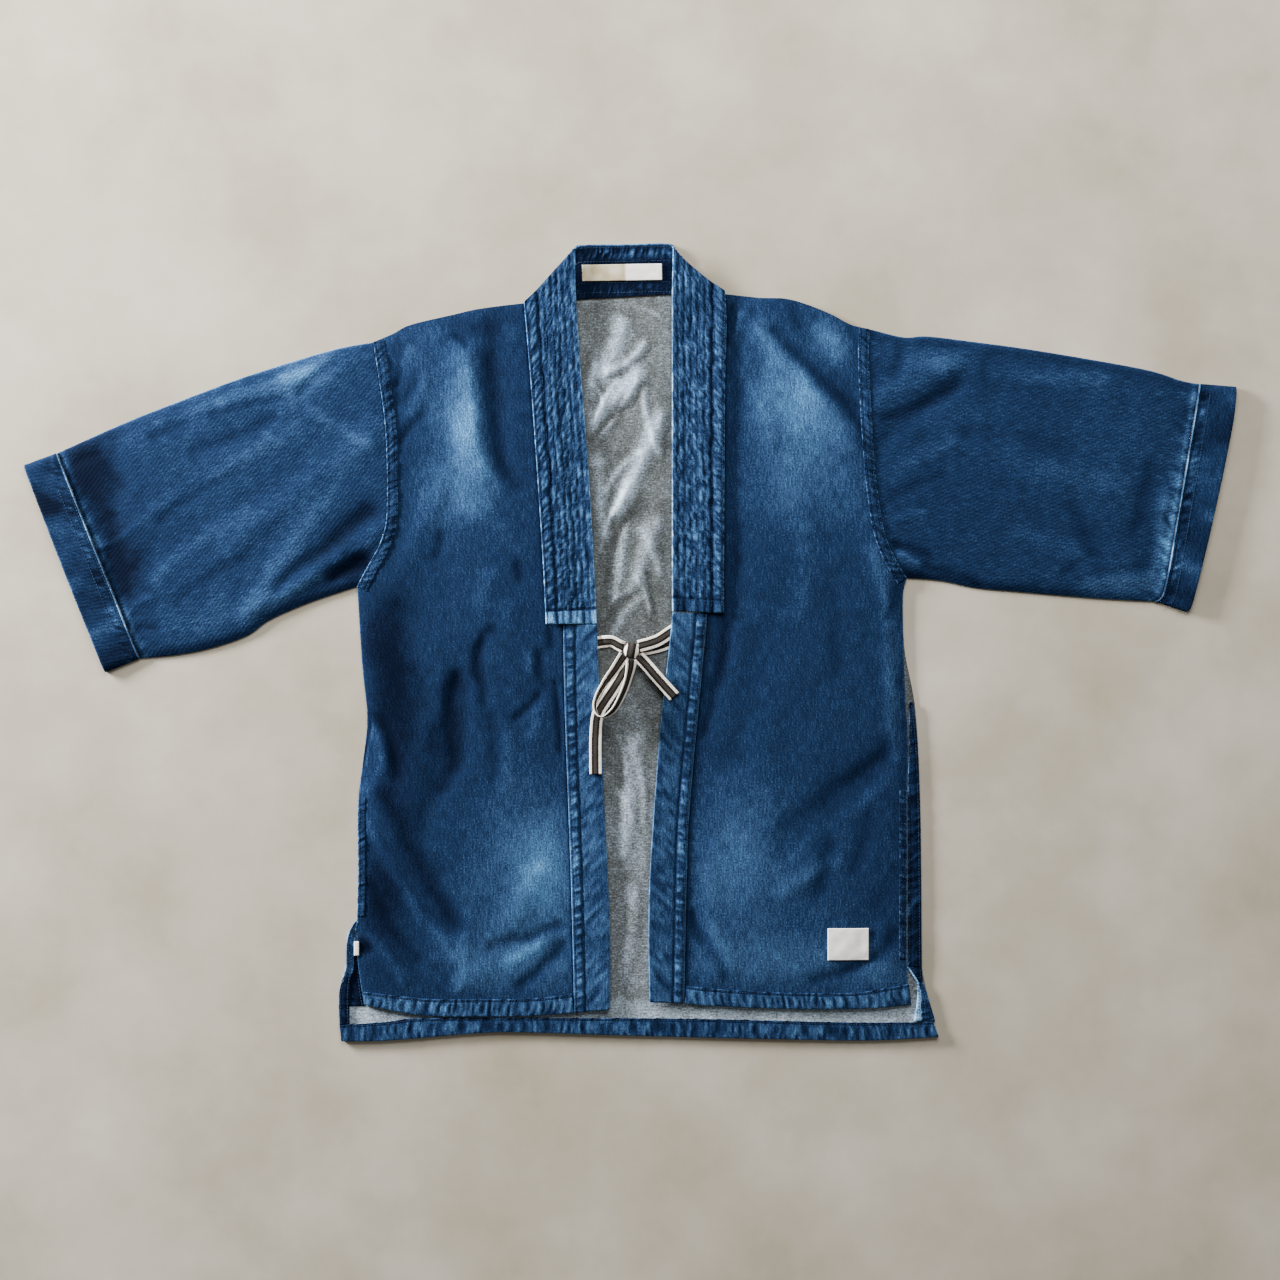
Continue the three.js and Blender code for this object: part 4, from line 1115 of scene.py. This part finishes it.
for side in SIDES:
    armhole, side_line = line(ARMHOLE[side]), line(SIDE[side])
    low, high = FELL_BELOW[side]
    below = side_line[(side_line[:, 1] > low) & (side_line[:, 1] < high)]
    armhole_in, below_in = inward(armhole, side, FELL_WIDTH), inward(below, side, SIDE_FELL_WIDTH)
    hem_row, hem_edge = line(HEM_STITCH[side]), line(FRONT_HEM[side])
    trims = []
    # A seam's name, its lines, its fullness, its puckers, its seed, its tone, and its worn and shaded edges.
    for name, inner, outer, full, pitch, slant, seed, tone_there, pale, dark in [
        ("armhole_fell", armhole, armhole_in, 0.5, 2.1, 0.8, 41, 0.36, (0.34, 0.1), (0.24, 0.24)),
        ("side_fell", below, below_in, 0.4, 2.4, 0.5, 43, 0.36, (0.34, 0), (0.2, 0.1)),
        # The hem's negative pale paints a shade line along its stitched edge.
        ("front_hem", hem_row, hem_edge, 0.6, 2.7, 0.2, 47, 0.47, (-0.3, 0.3), (0.4, 0)),
    ]:
        trims += sewn_strip(
            f"{side}_{name}",
            inner,
            outer,
            under=lambda plan: panel_top(plan, side),
            thick=0.35,
            full=full,
            lively=0.5,
            pitch=pitch,
            slant=slant,
            seed=seed,
            tone=tone_there,
            pale=pale,
            dark=dark,
            step=1.2,
        )

# Sleeves: each is one panel folded along its top edge, so the flattened tube has its seam underneath.
# The warp runs along the sleeve, and the washing streaks with it.
ROLL = 9  # run of the rounded roll along a sleeve's folds
FLOOR_ROLL = 2  # and of the sharper one below, where the sleeve lies on the floor
SLEEVE_GAP = 0.4  # air between a sleeve and the pieces at its two ends
SLEEVE_WARP = {"right": 20, "left": -8}
# Negative amounts are dark patches, partly unworn indigo and partly painted shade.
SLEEVE_WEAR_AND_SHADE = {
    "right": [
        (-322, 264, 34, 22, 25, 0.22),
        (-420, 240, 90, 16, 20, 0.10),
        (-400, 180, 100, 50, 25, 0.04),
        (-345, 80, 44, 16, 55, 0.05),
        (-282, 74, 18, 14, 0, -0.16),
        (-420, 20, 60, 22, 15, 0.08),
        (-548, 165, 26, 40, -20, -0.30),
        (-522, 60, 26, 74, -20, -0.28),
        (-285, 100, 24, 50, -30, -0.10),
    ],
    "left": [
        (292, 284, 40, 15, -6, 0.08),
        (330, 225, 70, 30, -8, 0.05),
        (350, 270, 40, 14, -8, -0.06),
        (490, 52, 60, 14, 5, 0.18),
        (534, 105, 9, 60, -8, 0.14),
        (500, 200, 60, 60, 0, 0.06),
        (280, 60, 16, 10, 0, -0.16),
    ],
}
SLEEVE_TONE = {"right": 0.365, "left": 0.325}
CUFF_SHADE = {"right": 0.08, "left": 0}
ARMHOLE_RUN = 220  # across a sleeve, from fold to fold


def tube(name, start, end, first, last, thick, height, step):
    """A flattened tube of cloth, faces out: the object and, at each vertex, its plan, its share from the top
    fold to the lower one, its distance from the nearer fold and whether it is on the upper side."""
    wide = np.linalg.norm(first[0] - first[-1])
    length = runs(start)[-1]
    upper, lower = spread(wide, step, 0.6) / 2, spread(wide, 3 * step, 0.6)[1:] / 2 + 0.5
    cloth, around, down = grid(name, np.r_[upper, lower], spread(length, step, 0.8))
    on_top = around <= 0.5
    share = np.where(on_top, 2 * around, 2 - 2 * around)
    plan = patch(share, down, start=start, end=end, first=first, last=last)
    width_here = np.linalg.norm(along(end, down) - along(start, down), axis=1)
    from_fold = np.minimum(share, 1 - share) * width_here
    middle = thick + GAP / 2
    level = np.where(on_top, height(plan), 0)
    roll = rolled(from_fold, ROLL) * on_top + rolled(from_fold, FLOOR_ROLL) * ~on_top
    raise_cloth(cloth, plan, middle + (level - middle) * roll)
    return cloth, plan, share, from_fold, on_top


def close_tube(cloth):
    """Joins the two sides of the grid where they meet along the fold."""
    build = bmesh.new()
    build.from_mesh(cloth.data)
    rim = [vertex for vertex in build.verts if vertex.is_boundary]
    bmesh.ops.remove_doubles(build, verts=rim, dist=0.00001)
    build.to_mesh(cloth.data)
    build.free()


for side in SIDES:
    armhole = line(ARMHOLE[side]) + (SIGN[side] * SLEEVE_GAP, 0)
    seam = line(CUFF_SEAM[side])
    sleeve, plan, share, from_fold, on_top = tube(
        f"{side}_sleeve_cloth",
        start=line([tuple(armhole[0]), *SLEEVE_TOP[side][1:]]),
        end=line([tuple(armhole[-1]), *SLEEVE_UNDER[side][1:]]),
        first=armhole,
        last=seam,
        thick=CLOTH,
        height=lambda spots: panel_top(spots, side),
        step=2.9,
    )
    to_cuff = distance(plan, seam)
    beside_cuff = 0.22 * bell(to_cuff - 4, 3) - CUFF_SHADE[side] * bell(to_cuff - 20, 14)
    # A pale worn line along each fold, and darker a little inside it.
    fold_edge_tone = 0.3 * worn_line(from_fold, plan[:, 0], 62) - 0.1 * bell(from_fold - 6, 4)
    gathers = 0.22 * pucker(share * ARMHOLE_RUN, to_cuff, 4.5, 0.5, 71) * bell(to_cuff, 15)
    worn_and_shaded = wear_and_shade_ovals(plan, SLEEVE_WEAR_AND_SHADE[side], 70) + wear_and_hollow_shade(plan) + beside_cuff + fold_edge_tone + gathers
    note(sleeve, "wear_and_shade", SLEEVE_TONE[side] + worn_and_shaded)
    lay_grain(sleeve, plan, SLEEVE_WARP[side])
    close_tube(sleeve)
    thicken(sleeve, CLOTH - 0.1, denim, wrong_side)
    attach(sleeve, "root")
    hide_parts(f"{side}_sleeve")

# Cuffs: a turned-up hem sewn on as a double band. The seam stands proud as a rolled ridge, worn pale on
# its crest, and the stitching beside it gathers the cuff.
CUFF = 1.7
CUFF_EDGE = {
    "right": [(-606.5, 177.5), (-566, 72), (-525, -30)],
    "left": [(606.5, 256), (602, 216), (583, 124), (563, 42), (556, 30.5)],
}
CUFF_ROWS = (2.8, 12)  # rows of stitching from the seam, with the gathers between them
CUFF_WARP = {"right": -22, "left": 80}
CUFF_TONE = {"right": 0.27, "left": 0.31}
# Negative amounts are dark patches, partly unworn indigo and partly painted shade.
CUFF_WEAR_AND_SHADE = {
    "right": [(-584, 137, 15, 9, -20, -0.40), (-570, 112, 12, 12, 0, 0.10), (-548, 20, 20, 16, 0, 0.06)],
    "left": [(583, 232, 16, 14, 0, -0.08), (572, 150, 12, 26, 0, 0.06)],
}
for side in SIDES:
    seam = line(CUFF_SEAM[side]) + (SIGN[side] * SLEEVE_GAP, 0)
    edge = line(CUFF_EDGE[side])
    cuff, plan, share, from_fold, on_top = tube(
        f"{side}_cuff_cloth",
        start=line([tuple(seam[0]), CUFF_EDGE[side][0]]),
        end=line([tuple(seam[-1]), CUFF_EDGE[side][-1]]),
        first=seam,
        last=edge,
        thick=CUFF,
        height=lambda spots: 2 * CUFF + GAP + lift(spots, side),
        step=1.8,
    )
    from_seam, to_edge = distance(plan, seam), distance(plan, edge)
    run = share * runs(seam)[-1]
    cells = bell(from_seam - 7.5, 5)
    ridges = pucker(run, from_seam, 2.6, 0.6, 53 + SIGN[side], reach=7) * cells
    streaks = soft_noise(run / 13, from_seam / 40, 57)
    ridge = 0.4 * bell(from_seam - 0.8, 0.6) - 0.35 * bell(from_seam - 2.6)
    swell = 0.45 * ridges + 0.15 * streaks + ridge - 0.5 * (1 - rolled(to_edge))
    height = vertex_spots(cuff.data)[:, 2] / MM
    raise_cloth(cuff, plan, height + on_top * rolled(from_fold, 6) * swell)
    seam_line = 0.3 * bell(from_seam - 0.9, 0.7) + 0.4 * worn_line(from_seam - 0.9, run, 58)
    # Painted shade in the first stitched row beside the seam.
    seam_line -= 0.34 * bell(from_seam - CUFF_ROWS[0])
    worn_and_shaded = 0.34 * worn_line(to_edge, run, 59) + wear_and_shade_ovals(plan, CUFF_WEAR_AND_SHADE[side], 73) + 0.6 * wear_and_hollow_shade(plan)
    note(cuff, "wear_and_shade", CUFF_TONE[side] + 0.34 * ridges + 0.20 * streaks + seam_line + worn_and_shaded)
    lay_grain(cuff, plan, CUFF_WARP[side])
    close_tube(cuff)
    thicken(cuff, CUFF - 0.2, denim, wrong_side)
    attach(cuff, "root")
    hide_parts(f"{side}_cuff")
    thread = sew(cuff, [inward(seam, side, -row)[4:-4] for row in CUFF_ROWS])

# Front bands: a folded double strip from the collar's end to the hem. Its seam allowances lie towards
# the edge under two rows of stitching, which leave a gathered strip and then a groove.
BAND = 2.0
BAND_CELLS = 10.5  # width of that strip
GROOVE = BAND_CELLS + 0.6  # the stitched row beside it, from the seam
for side in SIDES:
    edge_rows = FRONT_EDGE[side]
    seam_rows = [(x - SIGN[side] * GAP, y) for x, y in BAND_SEAM[side] if y < edge_rows[0][1]]
    strip = Strip(f"{side}_front_band_cloth", line(seam_rows), line(edge_rows), 1.25)
    across = strip.across
    cells = smooth(0.8, 2, across) * (1 - smooth(BAND_CELLS - 1.5, BAND_CELLS, across))
    ridges = pucker(strip.run, across, 2.8, 0.4, 63, reach=7) * cells
    far_side = smooth(BAND_CELLS, BAND_CELLS + 4, across)
    ripples = soft_noise((strip.run + 0.9 * across) / 6, across / 8, 67) * far_side
    groove, seam_groove = bell(across - GROOVE, 1.1), bell(across - SEW_IN, 0.8)
    relief = 0.4 * cells + 0.45 * ridges + 0.3 * ripples - 0.6 * groove - 0.3 * seam_groove
    swell = rolled(strip.rim) * relief
    base = FRONT_BASE + lift(strip.plan, side)
    raise_cloth(strip.cloth, strip.plan, base + BAND - 0.5 + 0.5 * rolled(strip.rim) + swell)
    worn_edge = 0.26 * worn_line(across, strip.run, 64) + 0.34 * worn_line(strip.from_outer, strip.run, 65)
    # Painted shade in the groove and in the stitched row by the seam.
    painted_groove_shade = 0.26 * groove + 0.22 * seam_groove
    soft = wear_and_shade_ovals(strip.plan, FRONT_WEAR_AND_SHADE[side], 60) * 0.5 + wear_and_hollow_shade(strip.plan) * 0.6
    note(strip.cloth, "wear_and_shade", 0.47 + 0.28 * ridges + 0.15 * ripples + worn_edge - painted_groove_shade + soft)
    lay_grain(strip.cloth, strip.plan, 90)
    thicken(strip.cloth, BAND - 0.6, denim)
    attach(strip.cloth, "root")
    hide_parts(f"{side}_front_band")
    thread = sew(strip.cloth, [strip.row(SEW_IN), strip.row(GROOVE)])

# Collar: a doubled strip stitched lengthwise in rows. The washing gathered the cloth between the rows into
# diagonal puckers at the outer edge and long streaks in the channels, with a deep furrow between the two.
COLLAR = 2.2
COLLAR_WIDTH = 50
COLLAR_ROWS = [0.04, 0.235, 0.37, 0.50, 0.62, 0.75, 0.88]  # stitched rows, as shares of its width
DEEP_ROW = COLLAR_ROWS[1]
OVERLAP_END = 0.4  # share of the collar's width that lies on the front panel
FREE_START = 0.7  # from this share on it lies on the back
TURNED_END = 13  # length of its turned-in end
END_TONE = {"right": 0.26, "left": -0.09}
for side in SIDES:
    seam_line, free_line = line(COLLAR_SEAM[side]), line(COLLAR_EDGE[side])
    length = runs(seam_line)[-1]
    columns, rows = spread(COLLAR_WIDTH, 1.1, 0.45), spread(length, 1.2, 0.45)
    cloth, share, v = grid(f"{side}_collar_cloth", columns, rows)
    plan = patch(
        share,
        v,
        start=seam_line,
        end=free_line,
        first=line(COLLAR_FOLD[side]),
        last=line([COLLAR_SEAM[side][-1], COLLAR_EDGE[side][-1]]),
    )
    wide = np.linalg.norm(along(free_line, v) - along(seam_line, v), axis=1)
    across, run = share * wide, v * length
    from_end = (1 - v) * length
    rim = np.minimum.reduce([across, wide - across, from_end])
    furrows = np.zeros(len(plan))
    wander = 0.02 * soft_noise(run / 7, share * 3, 95)
    for row in COLLAR_ROWS:
        depth, half_width = (1.25, 1.7) if row == DEEP_ROW else (0.55, 1.1)
        furrows += depth * bell((share - row + wander) * COLLAR_WIDTH, half_width)
    at_edge = 1 - smooth(DEEP_ROW - 0.05, DEEP_ROW, share)
    diagonal = pucker(run, across, 2.2, 0.5, 83 + SIGN[side], reach=5)
    streaks = 0.6 * pucker(run, across, 7, 0.15, 87 + SIGN[side], reach=2.1)
    streaks += 0.7 * pucker(run, across, 2.1, 0.7, 93 + SIGN[side], reach=3)
    in_end = 1 - smooth(TURNED_END - 1.5, TURNED_END, from_end)
    squares = soft_noise(across / 6.5, run / 20, 91)
    ridges = (1 - in_end) * (at_edge * diagonal + (1 - at_edge) * streaks) + in_end * squares
    end_groove = bell(from_end - TURNED_END, 1.1)
    low = FRONT_BASE + lift(plan, side)
    near_neck = smooth(50, 8, COLLAR_SEAM[side][0][1] - plan[:, 1])
    resting = smooth(OVERLAP_END, FREE_START, share)
    base = (1 - resting) * (low + FRONT_BASE) + resting * (low + 1.3 * near_neck)
    swell = rolled(rim) * (0.8 - 0.75 * furrows + 0.42 * ridges - 0.5 * end_groove)
    raise_cloth(cloth, plan, base + COLLAR - 0.5 + 0.5 * rolled(rim) + swell)
    # Painted shade: the first stitched row, the furrows and the groove at the turned end are darkened,
    # besides being sunk.
    worn_edge = 0.30 * worn_line(across, run, 85) - 0.2 * bell(across - 2, 0.8)
    free_rim = worn_line(np.minimum(wide - across, from_end), run, 86)
    worn_edge += 0.55 * np.maximum(free_rim, 0.6 * bell(wide - across, 0.7))
    tone_there = 0.50 + in_end * END_TONE[side] - 0.36 * furrows - 0.28 * end_groove
    note(cloth, "wear_and_shade", tone_there + 0.27 * ridges + worn_edge)
    lay_grain(cloth, plan, 90)
    thicken(cloth, COLLAR - 0.7, denim)
    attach(cloth, "root")
    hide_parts(f"{side}_collar_strip")
    shares = np.linspace(0.08, 0.98, 200)
    start, end = along(seam_line, shares), along(free_line, shares)
    thread = sew(cloth, [start + row * (end - start) for row in COLLAR_ROWS])

# Tie tapes: a 12 mm woven tape, charcoal with cream edges. One comes from under each front band, and they
# are tied in a bow of one large loop, with two tails.
TAPE_WIDTH = 12
TAPE_THICK = 0.9
TIES = {  # the route of each piece of tape: x, y, height and turn in degrees
    "right_tie_strand": [
        (-41, -1, 1.8, 0), (-31.7, 0.1, 2.0, 0), (-19, 1.3, 4.2, 22), (-11, -2.6, 5.0, 24),
        (-6.4, -4.6, 5.0, 15),
    ],
    "left_tie_strand": [(49, 15.6, 3.1, 0), (41, 10.6, 3.2, 0), (27, 1.7, 4.4, 0), (8.8, -3.8, 5.0, 0)],
    "under_bow_loop": [(45, 2.5, 1.8, 0), (33, -2.5, 1.8, 0), (22, -5.5, 1.8, 0), (8.2, -7.6, 1.9, 0)],
    "bow_loop": [
        (-5.6, -13.2, 6.4, -20), (-15, -27, 8.2, -40), (-26, -42, 10.2, -58), (-34, -57, 12.2, -72),
        (-34, -69, 13.2, -82), (-27, -74, 13.4, -100), (-16, -67, 12.0, -118), (-7.5, -52, 9.6, -122),
        (-2, -37, 8.8, -126), (1.0, -24, 9.6, -142), (1.2, -17.6, 9.8, -152),
    ],
    "long_tie_tail": [
        (-1, -17.2, 2.4, 0), (-9, -34, 1.9, 0), (-19, -50, 4.0, 0), (-25, -59, 5.9, 0), (-32, -72, 6.2, 0),
        (-34.4, -96, 6.0, 0), (-34.3, -131.5, 6.0, 0),
    ],
    "short_tie_tail": [(8.6, -14.2, 4.5, 0), (16.5, -22.5, 5.0, 0), (30, -38, 6.1, 0), (44.5, -54, 6.1, 0)],
}
KNOT_MIDDLE = (1.5, -8, 4.9)
KNOT_SIZE = (15, 17, 6.8)

tape_weave, tree, surface = new_material("striped_woven_tape", roughness=0.8, specular=0.25)
tape_place = node(tree, "UVMap", uv_map="cloth").outputs["UV"]
split = node(tree, "SeparateXYZ", {"Vector": tape_place})
picks = node(tree, "Mapping", {"Vector": tape_place, "Scale": (1 / 0.003, 1 / 0.0009, 1)})
pick_lines = node(tree, "TexNoise", {"Vector": picks.outputs[0], "Scale": 1.0, "Detail": 1.0})
shift = node(tree, "Math", {0: pick_lines.outputs[0], 1: 0.0006}, operation="MULTIPLY")
place = node(tree, "Math", {0: split.outputs["X"], 1: shift.outputs[0]}, operation="ADD")
share = node(tree, "Math", {0: place.outputs[0], 1: 1 / (TAPE_WIDTH * MM)}, operation="MULTIPLY")
stripes = node(tree, "ValToRGB", {"Fac": share.outputs[0]})
stripes.color_ramp.interpolation = "CONSTANT"
set_stops(
    stripes.color_ramp,
    [
        (0, "#fffaf0"), (0.2, "#84604f"), (0.23, "#12100f"), (0.38, "#34302d"), (0.62, "#12100f"),
        (0.77, "#84604f"), (0.8, "#fffaf0"),
    ],
)
shade = node(tree, "Math", {0: pick_lines.outputs[0], 1: 0.4, 2: 0.82}, operation="MULTIPLY_ADD")
mixed = node(
    tree,
    "MixRGB",
    {"Fac": 1.0, "Color1": stripes.outputs["Color"], "Color2": shade.outputs[0]},
    blend_type="MULTIPLY",
)
tree.links.new(mixed.outputs[0], surface.inputs["Base Color"])
weave = node(tree, "Bump", {"Strength": 0.5, "Distance": 0.0003, "Height": pick_lines.outputs[0]})
tree.links.new(weave.outputs["Normal"], surface.inputs["Normal"])


def shape_tape(tape, spots, uv):
    """Puts the vertices of a piece of tape in their places, and gives it its weave."""
    tape.data.vertices.foreach_set("co", spots.ravel() * MM)
    tape.data.update()
    tape.data.shade_smooth()
    lay_uv(tape.data, uv)
    tape.data.materials.append(tape_weave)


for node_name, route in TIES.items():
    route = np.array(route, float)
    length = runs(along(route[:, :3], np.linspace(0, 1, 400)))[-1]
    tape, u, v = grid(f"{node_name}_tape", spread(TAPE_WIDTH, 1.5, 0.5), spread(length, 1.2))
    smoothed = line(route)
    middle, run = smoothed[:, :3], runs(smoothed[:, :3])
    ahead = heading(middle, v, 0.01)
    level = np.column_stack([-ahead[:, 1], ahead[:, 0], np.zeros(len(v))])
    level /= np.linalg.norm(level, axis=1)[:, None]
    turn = np.radians(np.interp(v * run[-1], run, smoothed[:, 3]))[:, None]
    sideways = level * np.cos(turn) + np.cross(ahead, level) * np.sin(turn)
    up = np.cross(ahead, sideways)
    sag = (0.3 * np.sin(np.pi * u) + 0.15 * soft_noise(v * length / 6, u * 2, 17))[:, None]
    spots = along(middle, v) + (u - 0.5)[:, None] * TAPE_WIDTH * sideways + sag * up
    shape_tape(tape, spots, np.column_stack([u * TAPE_WIDTH, v * length]))
    wall = tape.modifiers.new("thickness", "SOLIDIFY")
    wall.thickness = TAPE_THICK * MM
    wall.offset = 0
    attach(tape, "root")
    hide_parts(node_name)

knot = new_shape("bow_knot_tape", bmesh.ops.create_uvsphere, u_segments=40, v_segments=24, radius=0.5)
ball = vertex_spots(knot.data)
stripe_place = np.column_stack([ball[:, 0] - 0.2 * ball[:, 1] + 0.5, ball[:, 1]]) * TAPE_WIDTH
shape_tape(knot, ball * KNOT_SIZE + KNOT_MIDDLE, stripe_place)
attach(knot, "root")
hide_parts("bow_knot")

# Floor, light and camera: the jacket lies on a plain pale floor. Soft light comes from a low window at the
# left, a high one beyond the collar and the room all round. The camera looks straight down.
floor = new_shape("floor", bmesh.ops.create_grid, x_segments=1, y_segments=1, size=4)
floor_paint, tree, surface = new_material("pale_floor", roughness=0.8, specular=0.15)
object_place = node(tree, "TexCoord").outputs["Object"]
cloudy = node(tree, "TexNoise", {"Vector": object_place, "Scale": 5.0, "Detail": 6.0, "Roughness": 0.6})
tone = node(tree, "ValToRGB", {"Fac": cloudy.outputs[0]})
set_stops(tone.color_ramp, [(0.3, "#a69d8a"), (0.7, "#c9c1b3")])
tree.links.new(tone.outputs["Color"], surface.inputs["Base Color"])
floor.data.materials.append(floor_paint)

for name, place, wide, high, watts in [
    ("low_window_light", (-2.3, 1.15, 0.39), 1.0, 0.25, 430),
    ("high_window_light", (0.2, 1.95, 1.25), 2.0, 1.2, 89),
]:
    window = bpy.data.lights.new(name, "AREA")
    window.shape = "RECTANGLE"
    window.size = wide
    window.size_y = high
    window.energy = watts
    window.color = (1.0, 0.99, 0.97)
    window_object = add_object(name, window)
    window_object.location = place
    window_object.rotation_euler = (-window_object.location).to_track_quat("-Z", "Y").to_euler()
world = bpy.data.worlds.new("pale_surround")
bpy.context.scene.world = world
world.use_nodes = True
surround = world.node_tree.nodes["Background"]
surround.inputs["Color"].default_value = (1.0, 0.96, 0.88, 1)
surround.inputs["Strength"].default_value = 0.17

SENSOR = 36.0
SEEN_WIDTH = 1.28  # metres of floor across the picture
CAMERA_HEIGHT = 1.545
VIEW_MIDDLE = (0.010, 0.0025)
JACKET_MIDDLE = 0.003  # height of the plane whose scale the picture keeps
camera = bpy.data.cameras.new("camera")
camera.sensor_width = SENSOR
camera.lens = SENSOR * CAMERA_HEIGHT / SEEN_WIDTH
camera_object = add_object("camera", camera)
camera_object.location = (*VIEW_MIDDLE, CAMERA_HEIGHT + JACKET_MIDDLE)
bpy.context.scene.camera = camera_object
